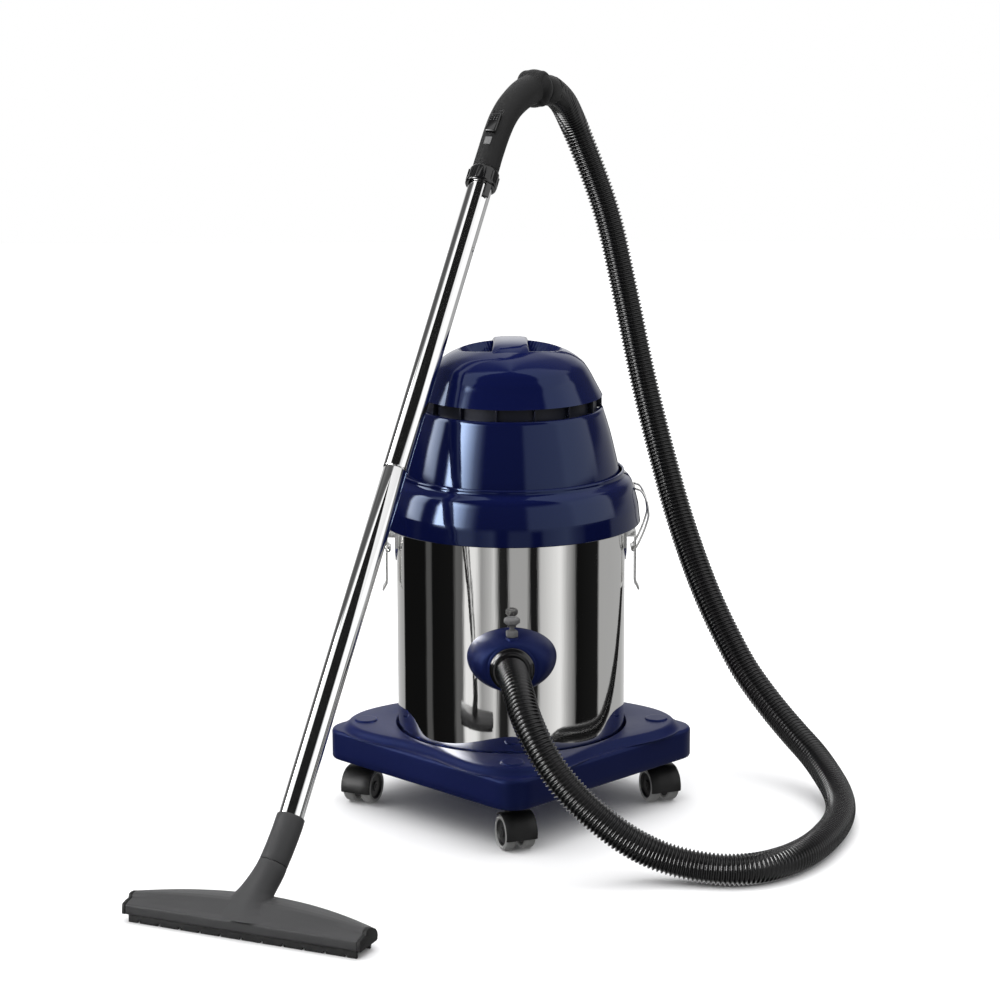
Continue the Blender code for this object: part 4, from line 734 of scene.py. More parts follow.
@dataclass
class Studio:
    """The camera, the floor, the lights and the surroundings that the steel mirrors."""

    azimuth: float = 0.00302
    elevation: float = 0.20901
    roll: float = -0.00304
    distance: float = 4.0
    target: tuple = (-0.01541, 0.0, 0.44909)
    lens: float = 99.88
    # brightness round the horizon, from behind on the left, through the front, to behind on the right
    low_bands: tuple = ((-180, 0.80), (-151, 0.50), (-143, 0.42), (-139, 0.42), (-137, 0.006), (-96, 0.006),
                        (-94, 0.09), (-88, 0.09), (-86, 0.006), (-60, 0.008), (-57, 0.14), (-50, 0.12),
                        (-47, 1.00), (-36, 0.95), (-30, 0.35), (-21, 0.55), (-17, 0.75), (-12, 0.02),
                        (-4, 0.015), (-1, 0.42), (16, 0.42), (19, 0.012), (26, 0.012), (29, 0.60), (50, 1.00),
                        (58, 0.48), (66, 0.20), (69, 0.006), (97, 0.012), (100, 0.45), (146, 0.46), (180,
                                                                                                     0.80))
    high_bands: tuple = ((-180, 1.2), (-158, 0.8), (-145, 0.12), (-122, 0.10),
                         (-108, 0.12), (-105, 9.0), (-91, 5.0), (-87, 0.04), (-74, 0.04),
                         (-71, 26.0), (-60, 24.0), (-50, 12.0), (-41, 3.0), (-34, 0.6), (-30, 0.05), (13,
                                                                                                      0.06),
                         (17, 0.80), (55, 1.00), (62, 1.30), (104, 1.20), (108, 0.10), (140, 0.10), (160,
                                                                                                     0.8),
                         (180, 1.2))
    crown_bands: tuple = ((-180, 0.90), (-150, 0.25), (-122, 0.10), (-108, 0.10), (-98, 0.45), (-91, 1.30),
                          (-66, 1.30), (-62, 0.012), (50, 0.012), (54, 1.10), (118, 0.90), (124, 0.20), (155,
                                                                                                         0.30),
                          (180, 0.90))

    def camera(self) -> None:
        """Set the camera up."""
        data = bpy.data.cameras.new("camera")
        data.lens = self.lens
        data.sensor_width = 36.0
        obj = bpy.data.objects.new("camera", data)
        bpy.context.scene.collection.objects.link(obj)
        look = Vector((math.sin(self.azimuth) * math.cos(self.elevation),
                       math.cos(self.azimuth) * math.cos(self.elevation), -math.sin(self.elevation)))
        right = Vector((math.cos(self.azimuth), -math.sin(self.azimuth), 0))
        up = right.cross(look)
        side = right * math.cos(self.roll) + up * math.sin(self.roll)
        top = up * math.cos(self.roll) - right * math.sin(self.roll)
        turn = Matrix((side, top, -look)).transposed().to_4x4()
        obj.matrix_world = Matrix.Translation(Vector(self.target) - look * self.distance) @ turn
        bpy.context.scene.camera = obj

    def surroundings(self) -> None:
        """Make the world: white to the camera, soft to matt surfaces, panels and flags to glossy ones."""
        world = bpy.data.worlds.new("studio")
        bpy.context.scene.world = world
        world.use_nodes = True
        world.node_tree.nodes.clear()
        graph = Graph(world.node_tree)
        place = graph.add("ShaderNodeTexCoord", {}, {}, "Generated")
        parts = world.node_tree.nodes.new("ShaderNodeSeparateXYZ")
        graph.feed(parts.inputs[0], place)
        x, y, z = (Wire(graph, socket) for socket in parts.outputs)
        angle = graph.add("ShaderNodeMath", {"operation": "ARCTAN2"}, {0: x, 1: -1.0 * y})
        share = angle * (0.5 / math.pi) + 0.5
        ramps = []
        for bands in (self.low_bands, self.high_bands, self.crown_bands):
            stops = [((degrees + 180) / 360, value) for degrees, value in bands]
            ramps.append(graph.add("ShaderNodeValToRGB", {"stops": stops}, {"Fac": share}))
        panels = graph.tint(z.above(0.50, 0.12), graph.tint(z.above(0.02, 0.10), ramps[0], ramps[1]),
                            ramps[2])
        glossy = graph.add("ShaderNodeLightPath", {}, {}, "Is Glossy Ray")
        lens = graph.add("ShaderNodeLightPath", {}, {}, "Is Camera Ray")
        side = 0.5 - 0.5 * x
        level = 0.04 + 0.30 * side + 1.75 * z.above(0.08, 0.90)
        soft = graph.add("ShaderNodeCombineXYZ", {}, {"X": level, "Y": level, "Z": 1.01 * level})
        tone = graph.tint(glossy, soft, panels)
        seen = graph.tint(lens, tone, (1.0, 1.0, 1.0))
        background = graph.tree.nodes.new("ShaderNodeBackground")
        graph.feed(background.inputs["Color"], seen)
        background.inputs["Strength"].default_value = 1.0
        out = graph.tree.nodes.new("ShaderNodeOutputWorld")
        graph.tree.links.new(background.outputs[0], out.inputs[0])

    def panel(self, name: str, place: tuple, aim: tuple, size: tuple, power: float) -> None:
        """Hang a soft panel light.

        Args:
            name: its name.
            place: where it hangs.
            aim: the point it faces.
            size: its width and height.
            power: its power in watts.
        """
        data = bpy.data.lights.new(name, "AREA")
        data.shape = "RECTANGLE"
        data.size, data.size_y = size
        data.energy = power
        obj = bpy.data.objects.new(name, data)
        bpy.context.scene.collection.objects.link(obj)
        obj.visible_glossy = False
        obj.location = place
        obj.rotation_euler = (Vector(aim) - Vector(place)).to_track_quat("-Z", "Y").to_euler()

    def floor(self) -> None:
        """Lay the pale floor, which the steel doesn't mirror."""
        free()
        bpy.ops.mesh.primitive_plane_add(size=14, location=(0, 0, 0))
        obj = named("floor")
        material = bpy.data.materials.new("floor_paper")
        material.use_nodes = True
        graph = Graph(material.node_tree)
        shader = material.node_tree.nodes["Principled BSDF"]
        place = graph.add("ShaderNodeTexCoord", {}, {}, "Object")
        graph.feed(shader.inputs["Base Color"],
                   graph.tint(graph.noise(place, 3.0), (0.90, 0.90, 0.90), (0.93, 0.93, 0.93)))
        shader.inputs["Roughness"].default_value = 0.9
        shader.inputs["Specular IOR Level"].default_value = 0.0
        obj.data.materials.append(material)
        obj.visible_glossy = False
        obj.visible_diffuse = False

    def build(self) -> None:
        """Set the whole studio up but for the camera."""
        self.surroundings()
        self.floor()
        self.panel("key", (-2.2, -0.2, 2.4), (0, 0, 0.3), (1.2, 1.2), 14)
        self.panel("fill", (2.0, -1.8, 2.2), (0, 0, 0.3), (1.4, 1.4), 2)
        self.panel("top", (0.2, 0.5, 3.0), (0, 0, 0.2), (1.6, 1.6), 20)
        bpy.context.scene.view_settings.view_transform = "Standard"


# ---------------------------------------------------------------- hose

@dataclass
class Hose:
    """The corrugated hose and its two cuffs."""

    radius: float = 0.0215
    spacing: float = 0.045
    start: tuple = (0.0, -0.2153, 0.2525)
    cuff_start: tuple = (0.2059, 0.1161)
    cuff_slope: float = -6.0
    cuff_length: float = 0.040
    cuff_radius: float = 0.0232
    route: tuple = (
        (0.002, -0.235, 0.2505), (0.006, -0.262, 0.244), (0.013, -0.294, 0.224), (0.026, -0.321, 0.197),
        (0.046, -0.341, 0.162), (0.078, -0.356, 0.123), (0.116, -0.364, 0.088), (0.158, -0.367, 0.057),
        (0.204, -0.366, 0.034), (0.253, -0.374, 0.0240), (0.303, -0.379, 0.0220), (0.356, -0.356, 0.0220),
        (0.411, -0.292, 0.0220), (0.456, -0.190, 0.0225), (0.4716, -0.105, 0.0265), (0.466, -0.040, 0.037),
        (0.446, 0.018, 0.059), (0.412, 0.066, 0.090), (0.379, 0.104, 0.126), (0.348, 0.139, 0.168),
        (0.303, 0.197, 0.254), (0.266, 0.262, 0.3525), (0.236, 0.315, 0.458), (0.209, 0.355, 0.568),
        (0.185, 0.377, 0.682), (0.160, 0.392, 0.795), (0.143, 0.3966, 0.851), (0.123, 0.3976, 0.905),
        (0.101, 0.390, 0.958), (0.089, 0.373, 0.985), (0.077, 0.352, 1.0025))

    def tube(self) -> None:
        out = sloped(self.cuff_slope)
        start = Vector(self.start)
        end = in_plane(*self.cuff_start) + out * (self.cuff_length + 0.0003)
        lead = self.radius / 2
        knots = [start + Vector((0, -lead, 0)), *self.route, end + out * lead]
        coarse = [start, *smooth_path(knots, self.spacing), end]
        path = smooth_path(coarse, HOSE_PITCH)
        length = sum((b - a).length for a, b in zip(path, path[1:]))
        crest, root = 1.0, 0.86
        bands = [(-0.36 * HOSE_PITCH, root), (-0.22 * HOSE_PITCH, 0.945), (-0.08 * HOSE_PITCH, crest),
                 (0.08 * HOSE_PITCH, crest), (0.22 * HOSE_PITCH, 0.945), (0.36 * HOSE_PITCH, root)]
        inner = path[1:-1]
        obj = swept("hose", inner, [self.radius] * len(inner), 26, bands)
        finished(obj, "hose", HOSE_BLACK, angle=75)
        log.info("hose length %.3f m", length)

    def cuffs(self) -> None:
        """Make the ring and spigot in the inlet, and the smooth cuff in the grip."""
        face = 0.215
        profile = [(0.0265, face), (0.0265, 0.2110), (0.0285, 0.2100), (0.0303, 0.2090), (0.0313, 0.2078),
                   (0.0313, 0.2054), (0.0275, 0.2053), (0.0275, 0.1938), (0.0247, 0.1938), (0.0247, 0.1862),
                   (0.0275, 0.1862), (0.0275, 0.1530), (0.0205, 0.1530), (0.0205, face - 0.004),
                   (0.0165, face - 0.004), (0.0165, face)]
        cuff = turned("cuff", profile, 96)
        rounded(cuff, 0.0006, 2)
        placed(cuff, moved(0, 0, INLET_HEIGHT), spun(90, "X"))
        finished(cuff, "hose_cuff_inlet", GLOSS_BLACK)
        length, radius = self.cuff_length, self.cuff_radius
        profile = [(radius - 0.0015, length), (radius, length - 0.003), (radius, 0.0060), (radius - 0.0008,
                                                                                           0.0052),
                   (radius - 0.0008, 0.0038), (radius, 0.0030), (radius - 0.002, 0.0003), (0.0135, 0.0003),
                   (0.0135, length)]
        cuff = turned("cuff", profile, 96)
        rounded(cuff, 0.0005, 2)
        placed(cuff, frame_matrix(in_plane(*self.cuff_start), sloped(self.cuff_slope)))
        finished(cuff, "hose_cuff_grip", GRIP_BLACK)


# ---------------------------------------------------------------- drum and inlet

@dataclass
class Drum:
    """The polished drum with its inlet fitting."""

    radius: float = 0.165
    wall: float = 0.0015
    top: float = 0.4425
    low: float = 0.0723
    bead: float = 0.003
    flange_half: tuple = (0.063, 0.0455)
    collar: float = 0.0345
    mouth: float = 0.205
    pin_y: float = -0.190

    def shell(self) -> None:
        """Make the drum: a deep-drawn shell with a rolled bead and the inlet's hole."""
        inner = self.radius - self.wall
        foot = [(self.radius - 0.012 * (1 - math.sin(a)), self.low + 0.012 * (1 - math.cos(a)))
                for a in [math.radians(15 * k) for k in range(7)]]
        bead = [(self.radius + 0.0015 + 0.0015 * math.cos(a), self.top - 0.003 + 0.003 * math.sin(a))
                for a in [math.radians(15 * k - 60) for k in range(13)]]
        profile = [(0, self.low), *foot, (self.radius, 0.16), (self.radius, 0.25), (self.radius, 0.34),
                   (self.radius, self.top - 0.0072), *bead, (inner, self.top - 0.0005), (inner,
                                                                                         self.low + 0.014),
                   (inner - 0.004, self.low + 0.005), (inner - 0.014, self.low + self.wall), (0,
                                                                                              self.low + self.wall)]
        drum = turned("drum", profile, 192)
        hole = placed(turned("hole", [(0, 0), (0.0303, 0), (0.0303, 0.21), (0, 0.21)], 64),
                      moved(0, 0, INLET_HEIGHT), spun(90, "X"))
        cut(drum, hole)
        finished(drum, "tank", POLISHED, angle=35)

    def oval(self, wide: float, high: float, lift: float) -> list:
        """Points round an oval on the inlet's axis, raised by a lift."""
        angles = [2 * math.pi * step / 128 for step in range(128)]
        return [(wide * math.cos(a), INLET_HEIGHT + lift + high * math.sin(a)) for a in angles]

    def fitting(self) -> None:
        """Make the oval flange with its collar, pin boss and spigot."""
        reach = self.mouth
        collar = self.collar
        wide, high = self.flange_half
        rings = []
        for row in range(25):
            turn = math.radians(90 * row / 24)
            c, depth = math.cos(turn), 0.150 + (reach - 0.1505) * math.sin(turn)
            rings.append([(a, -depth, b) for a, b in self.oval(collar + (wide - collar) * c,
                                                              collar + (high - collar) * c * c, 0.005 * c)])
        for radius, depth in ((collar - 0.0005, reach), (collar - 0.0016, reach + 0.0006), (0.0292,
                                                                                            reach + 0.0006),
                              (0.0280, reach - 0.0006), (0.0279, 0.150)):
            rings.append([(a, -depth, b) for a, b in self.oval(radius, radius, 0.0)])
        flange = loft("flange", rings, loop=True)
        skin = turned("skin", [(0, 0.1), (self.radius + 0.0003, 0.1), (self.radius + 0.0003, 0.4), (0, 0.4)],
                      192)
        cut(flange, skin)
        tube = turned("spigot", [(0.0279, 0.1420), (0.0300, 0.1420), (0.0300, 0.1720), (0.0279, 0.1720)], 96)
        placed(tube, moved(0, 0, INLET_HEIGHT), spun(90, "X"))
        boss = turned("boss", [(0.0038, 0.2810), (0.0130, 0.2810), (0.0112, 0.2860), (0.0098, 0.2905),
                               (0.0095, 0.2935),
                               (0.0086, 0.2950), (0.0038, 0.2950)], 48)
        placed(boss, moved(0, self.pin_y, 0))
        finished(joined(flange, tube, boss), "inlet_flange", TROLLEY_BLUE, angle=38)

    def lock(self) -> None:
        """Make the lock pin with its ribbed knob, and the nut under it."""
        low = 0.3115
        pin = turned("pin", [(0, low + 0.0100), (0.0050, low + 0.0100), (0.0060, low + 0.0115), (0.0085,
                                                                                                 low + 0.0115),
                             (0.0105, low + 0.0100), (0.0110, low + 0.0080), (0.0104, low + 0.0040),
                             (0.0070, low + 0.0012), (0.0036, low), (0.0034, 0.2775), (0, 0.2775)], 48)
        shells = [pin]
        for index in range(10):
            lug = turned("lug", [(0, low + 0.0040), (0.0014, low + 0.0040), (0.0014, low + 0.0092), (0,
                                                                                                     low + 0.0096)], 12)
            shells.append(placed(lug, spun(36 * index), moved(0.0099, 0, 0)))
        pin = placed(joined(*shells), moved(0, self.pin_y, 0))
        finished(pin, "lock_pin", KNOB)
        nut = turned("nut", [(0.0038, 0.2953), (0.0078, 0.2953), (0.0090, 0.2964), (0.0090, 0.3036), (0.0076,
                                                                                                      0.3048),
                             (0.0038, 0.3048)], 6)
        placed(nut, moved(0, self.pin_y, 0), spun(15))
        finished(rounded(nut, 0.0005, 2), "lock_nut", KNOB)

    def build(self) -> None:
        """Make the drum and its fitting."""
        self.shell()
        self.fitting()
        self.lock()
        dressed("inlet_nut", HOOD_GREY)
        dressed("inlet_elbow", HOOD_GREY)


# ---------------------------------------------------------------- trolley and casters

@dataclass
class Trolley:
    """The square trolley that stands corner forwards."""

    side: float = 0.392
    corner: float = 0.035
    bottom: float = 0.066
    top: float = 0.110
    deck: float = 0.1205
    tip: float = 0.240
    waist: float = 0.182
    well: float = 0.168
    wall: float = 0.005
    reach: float = 0.2125
    boss: float = 0.0165
    count: int = 320

    def edge(self, angle: float) -> float:
        """The square's reach at an angle about the axis."""
        half = self.side / 2
        turn = angle - math.pi / 4
        a, b = abs(math.cos(turn)), abs(math.sin(turn))
        if a < b:
            a, b = b, a
        reach = half / a
        middle = half - self.corner
        if reach * b > middle:
            dot = middle * (a + b)
            reach = dot + math.sqrt(dot * dot - 2 * middle * middle + self.corner * self.corner)
        return reach

    def plateau(self, angle: float) -> float:
        """The raised deck's reach at an angle."""
        return self.waist + (self.tip - self.waist) * abs(math.cos(2 * angle)) ** 2.4

    def rows(self) -> list:
        """The surface's rows, each a kind of outline, an offset from it and a height."""
        well, deck, top, bottom = "well", self.deck, self.top, self.bottom
        rows = [(well, -0.160, 0.072), (well, -0.002, 0.072), (well, 0, 0.074), (well, 0, 0.100),
                (well, 0, deck - 0.002), (well, 0.0006, deck - 0.0006), (well, 0.002, deck)]
        rows += [("deck", -0.0080, deck), ("deck", -0.0050, deck - 0.0004), ("deck", -0.0025, deck - 0.0018),
                 ("deck", -0.0005, deck - 0.0042), ("deck", 0.0015, top + 0.0042), ("deck", 0.0035,
                                                                                    top + 0.0016),
                 ("deck", 0.0060, top + 0.0004), ("deck", 0.0085, top)]
        for step in range(7):
            angle = math.radians(15 * step)
            rows.append(("edge", -0.0055 * (1 - math.sin(angle)), top - 0.0055 * (1 - math.cos(angle))))
        rows += [("edge", 0, 0.096), ("edge", 0, 0.080), ("edge", 0, bottom + 0.003), ("edge", -0.0009,
                                                                                       bottom + 0.0009),
                 ("edge", -0.003, bottom), ("edge", -self.wall, bottom), ("edge", -self.wall,
                                                                          top - self.wall),
                 (well, self.wall, top - self.wall), (well, self.wall, bottom), (well, -0.160, bottom)]
        return rows

    def body(self) -> bpy.types.Object:
        """Make the moulded body.

        Returns:
            The body.
        """
        rings = []
        for kind, offset, height in self.rows():
            ring = []
            for step in range(self.count):
                angle = 2 * math.pi * step / self.count
                reach = {"well": lambda a: self.well, "deck": self.plateau,
                         "edge": self.edge}[kind](angle) + offset
                ring.append((reach * math.cos(angle), reach * math.sin(angle), height))
            rings.append(ring)
        return loft("trolley", rings)

    def build(self) -> None:
        """Make the body with a raised disc and a socket over each caster."""
        shells = [self.body()]
        high = self.deck + 0.0022
        for quarter in range(4):
            disc = turned("boss", [(0, self.deck - 0.003), (self.boss + 0.0016, self.deck - 0.003),
                                   (self.boss + 0.0016, self.deck - 0.0004), (self.boss + 0.0004,
                                                                              self.deck + 0.0002),
                                   (self.boss, high - 0.0012), (self.boss - 0.0004, high - 0.0004),
                                   (self.boss - 0.0014, high), (self.boss - 0.003, high), (0,
                                                                                           high + 0.0002)], 64)
            socket = turned("socket", [(0.0125, self.bottom), (0.0125, self.top - 0.003), (0.0058,
                                                                                           self.top - 0.003),
                                       (0.0058, self.bottom)], 32)
            for shell in (disc, socket):
                shells.append(placed(shell, spun(90 * quarter), moved(self.reach, 0, 0)))
        finished(joined(*shells), "trolley", TROLLEY_BLUE, angle=50)


@dataclass
class Casters:
    """The four twin-wheel casters."""

    reach: float = 0.2125
    trail: float = 0.012
    wheel: float = 0.025
    width: float = 0.017
    offset: float = 0.0141
    settings: dict = field(default_factory=lambda: {"front": (-90, -70), "right": (0, -69), "back": (90, -80),
                                                    "left": (180, -114)})

    def tyre(self, hand: int) -> bpy.types.Object:
        """One wheel: a pale tyre round a dark disc with a hub cap.

        Args:
            hand: 1 on the left and -1 on the right.

        Returns:
            The wheel, about its axle on Z.
        """
        half = self.width / 2
        r = self.wheel
        tyre = turned("tyre", [(r - 0.0062, half - 0.0010), (r - 0.0040, half), (r - 0.0020, half - 0.0006),
                               (r - 0.0006, half - 0.0022), (r, half - 0.0045), (r, 0), (r, 0.0045 - half),
                               (r - 0.0006, 0.0022 - half), (r - 0.0020, 0.0006 - half), (r - 0.0040, -half),
                               (r - 0.0062, 0.0010 - half)], 72)
        tyre.data.materials.append(TYRE.make())
        tyre.data.materials.append(HOOD_GREY.make())
        web = turned("web", [(0.0038, half - 0.0012), (0.0070, half - 0.0012), (0.0080, half - 0.0030),
                             (0.0160, half - 0.0036), (0.0178, half - 0.0014), (r - 0.0061, half - 0.0012),
                             (r - 0.0061, 0.0012 - half), (0.0038, 0.0012 - half)], 72)
        web.data.materials.append(TYRE.make())
        web.data.materials.append(HOOD_GREY.make())
        for face in web.data.polygons:
            face.material_index = 1
        return placed(joined(tyre, web), spun(0 if hand > 0 else 180, "X"))

    def hood(self, name: str) -> bpy.types.Object:
        """Make one hood: a curved cover over both wheels, a web between them and a boss for the stem.

        Args:
            name: its name.

        Returns:
            The hood, in the swivel's frame.
        """
        outer, inner, half = 0.0285, 0.0263, 0.023
        rings = []
        for step in range(33):
            angle = math.radians(-12 + 134 * step / 32)
            ends = 0.0 if 0 < step < 32 else 0.0004
            ring = []
            for radius, y in ((outer - 0.0010, -half), (outer, -half + 0.0012), (outer, -0.008), (outer,
                                                                                                  0.008),
                              (outer, half - 0.0012), (outer - 0.0010, half), (inner, half), (inner, 0.0),
                              (inner, -half)):
                reach = radius - ends
                ring.append((reach * math.cos(angle), y, reach * math.sin(angle)))
            rings.append(ring)
        cover = placed(loft(name, rings), moved(self.trail, 0, self.wheel))
        web = [(outer - 0.002) * math.cos(math.radians(a)) for a in range(-8, 119, 9)]
        rise = [(outer - 0.002) * math.sin(math.radians(a)) for a in range(-8, 119, 9)]
        outline = list(zip(web, rise)) + [(-0.007, 0.007), (-0.007, -0.007), (0.007, -0.007)]
        slab = loft("web", [[(x, y, z) for x, z in outline] for y in (-0.0045, 0.0045)])
        placed(slab, moved(self.trail, 0, self.wheel))
        boss = turned("boss", [(0.0058, 0.0430), (0.0100, 0.0430), (0.0112, 0.0500), (0.0115, 0.0560),
                               (0.0108, 0.0636), (0.0058, 0.0636)], 40)
        axle = placed(turned("axle", [(0, -0.022), (0.0030, -0.022), (0.0035, -0.0215), (0.0035, 0.0215),
                                      (0.0030, 0.022), (0, 0.022)], 24), moved(self.trail, 0,
                                                                               self.wheel), spun(90, "X"))
        return joined(cover, slab, boss, axle)

    def build(self) -> None:
        """Make and place the casters."""
        for side, (bearing, heading) in self.settings.items():
            name = f"caster_{side}"
            angle = math.radians(bearing)
            turn = moved(self.reach * math.cos(angle), self.reach * math.sin(angle), 0) @ spun(heading)
            finished(placed(self.hood("hood"), turn), f"{name}_hood", HOOD_GREY)
            for label, hand in (("left", 1), ("right", -1)):
                wheel = placed(self.tyre(hand), turn, moved(self.trail, hand * self.offset, self.wheel),
                               spun(-90, "X"))
                finished(wheel, f"{name}_wheel_{label}", TYRE)
            dressed(f"{name}_stem", ZINC)


# ---------------------------------------------------------------- latches

@dataclass
class Latches:
    """The two lever latches with their wire bails."""

    hinge_x: float = 0.1765
    pivot_z: float = 0.379
    wire: float = 0.0015
    half: float = 0.020
    side_path: tuple = ((0, 0.0), (0.006, 0.008), (0.0148, 0.028), (0.0208, 0.047), (0.0208, 0.058),
                        (0.0178, 0.073), (0.0113, 0.086))

    def bail(self) -> bpy.types.Object:
        """Make the bent wire.

        Returns:
            The bail on the right side, in the latch's frame.
        """
        shoulder, upper = Vector((0.1784, 0.4634)), Vector((0.1710, 0.4781))
        along = upper - shoulder
        out = Vector((along.y, -along.x)).normalized() * (self.wire + 0.0006)
        bar = shoulder + along * 0.35 + out - Vector((self.hinge_x, self.pivot_z))
        side = [*self.side_path, (bar.x + 0.003, bar.y - 0.001)]
        left = [(x, self.half, z) for x, z in side]
        right = [(x, -self.half, z) for x, z in reversed(side)]
        knots = [(0, self.half - 0.008, 0), *left, (bar.x, self.half - 0.003, bar.y), (bar.x,
                                                                                       0.003 - self.half, bar.y),
                 *right, (0, 0.008 - self.half, 0)]
        path = smooth_path(knots, 0.0015)
        return placed(swept("bail", path, [self.wire] * len(path), 16), moved(self.hinge_x, 0, self.pivot_z))

    def build(self) -> None:
        """Make both latches."""
        for side, turn in (("right", 0), ("left", 180)):
            finished(placed(self.bail(), spun(turn)), f"latch_{side}_bail", WIRE)
            refined(f"latch_{side}_lever", PRESSED, 0.0005)
            refined(f"latch_{side}_bracket", PRESSED, 0.0004)


# ---------------------------------------------------------------- motor head

@dataclass
class Head:
    """The motor head: rim, cover, vents, dome and what is inside."""

    lip: float = 0.1630
    dome_top: float = 0.6805
    dome_profile: tuple = ((0.0, 0.6805), (0.040, 0.6780), (0.079, 0.6668), (0.1020, 0.6524), (0.1130,
                                                                                               0.6380),
                           (0.1208, 0.6236), (0.1315, 0.6035))
    well_half: tuple = (0.078, 0.056, 0.062)
    well_centre: float = 0.692
    bar_half: float = 0.0254
    eye: float = 0.560

    def rim(self) -> None:
        """Make the skirt over the drum's top, with its raised lip."""
        lip = self.lip
        profile = [(lip - 0.0027, 0.4962), (lip - 0.0012, 0.4962), (lip - 0.0002, 0.4956), (lip + 0.0003,
                                                                                            0.4944),
                   (lip + 0.0004, 0.4925), (lip + 0.0006, 0.4905), (0.1655, 0.4874), (0.1704, 0.4846),
                   (0.1743, 0.4790), (0.1772, 0.4703), (0.1794, 0.4634), (0.1812, 0.4575), (0.1827, 0.4515),
                   (0.1836, 0.4480), (0.1840, 0.4462), (0.1849, 0.4380), (0.1860, 0.4280), (0.1867, 0.4225),
                   (0.1867, 0.4213), (0.1860, 0.4205), (0.1836, 0.4205), (0.1828, 0.4213), (0.1800, 0.4490),
                   (0.100, 0.4490), (0.100, 0.4530), (0.1778, 0.4530), (0.1744, 0.4624), (0.1670, 0.4771),
                   (0.1600, 0.4880), (0.1596, 0.4950)]
        rim = turned("rim", profile, 192)
        finished(rim, "head_rim", BLUE, angle=30)

    def cover(self) -> None:
        """Make the cone over the motor, with the rocker's and the gland's holes."""
        profile = [(0.1300, 0.5866), (0.1316, 0.5860), (0.1326, 0.5850), (0.1340, 0.5802), (0.1384, 0.5664),
                   (0.1430, 0.5512), (0.1468, 0.5366), (0.1502, 0.5220), (0.1536, 0.5075), (0.1566, 0.4930),
                   (0.1583, 0.4800), (0.1585, 0.4533), (0.1553, 0.4533), (0.1553, 0.4800), (0.1536, 0.4930),
                   (0.1472, 0.5220), (0.1400, 0.5512), (0.1304, 0.5800), (0.1115, 0.5800), (0.1115, 0.5830)]
        cover = turned("cover", profile, 192)
        cut(cover, block("hole", (-0.0106, 0.10, 0.5334), (0.0106, 0.20, 0.5646)))
        cut(cover, placed(turned("hole", [(0, 0), (0.0063, 0), (0.0063, 0.2), (0, 0.2)], 32),
                          moved(0, 0, 0.513), spun(-90, "X")))
        finished(cover, "motor_cover", BLUE, angle=30)

    def vents(self) -> None:
        """Make the dark ring behind the exhaust slot, and its ribs."""
        ring = turned("ring", [(0.1235, 0.6032), (0.1235, 0.5833), (0.1195, 0.5833), (0.1195, 0.6032)], 160)
        shells = [ring]
        for index in range(15):
            rib = block("rib", (0.1205, -0.0011, 0.5863), (0.1306, 0.0011, 0.6032), 0.0003, 2)
            shells.append(placed(rib, spun(-90 + 14.9 + 24 * index)))
        finished(joined(*shells), "vent_ring", VENT_BLACK)

    def reach(self, angle: float, rise: float) -> float:
        """How far the dome's skin is from a point on the axis below it.

        Args:
            angle: the bearing about the axis.
            rise: the angle above the horizon.

        Returns:
            The distance, with the hand well scooped out and its edge rounded.
        """
        direction = Vector((math.cos(rise) * math.cos(angle), math.cos(rise) * math.sin(angle),
                            math.sin(rise)))
        skin = self.skin(rise)
        offset = Vector((0, 0, self.eye - self.well_centre))
        scale = Vector([1 / h for h in self.well_half])
        u = Vector([d * s for d, s in zip(direction, scale)])
        v = Vector([o * s for o, s in zip(offset, scale)])
        a, b, c = u.dot(u), 2 * u.dot(v), v.dot(v) - 1
        under = b * b - 4 * a * c
        if under <= 0:
            miss = math.sqrt(-under) / (2 * a)
            well = -b / (2 * a) + 1.6 * miss
        else:
            well = (-b - math.sqrt(under)) / (2 * a)
        soft = 0.0045
        gap = max(soft - abs(skin - well), 0.0) / soft
        return min(skin, well) - gap * gap * soft / 4

    def skin(self, rise: float) -> float:
        """The distance to the unscooped dome at an angle above the horizon."""
        best = math.inf
        dx, dz = math.cos(rise), math.sin(rise)
        for (r0, z0), (r1, z1) in zip(self.curve, self.curve[1:]):
            ex, ez = r1 - r0, z1 - z0
            fall = dx * ez - dz * ex
            if abs(fall) < 1e-12:
                continue
            wx, wz = r0, z0 - self.eye
            along = (wx * ez - wz * ex) / fall
            share = (wx * dz - wz * dx) / fall
            if -0.001 <= share <= 1.001 and along > 0:
                best = min(best, along)
        return best

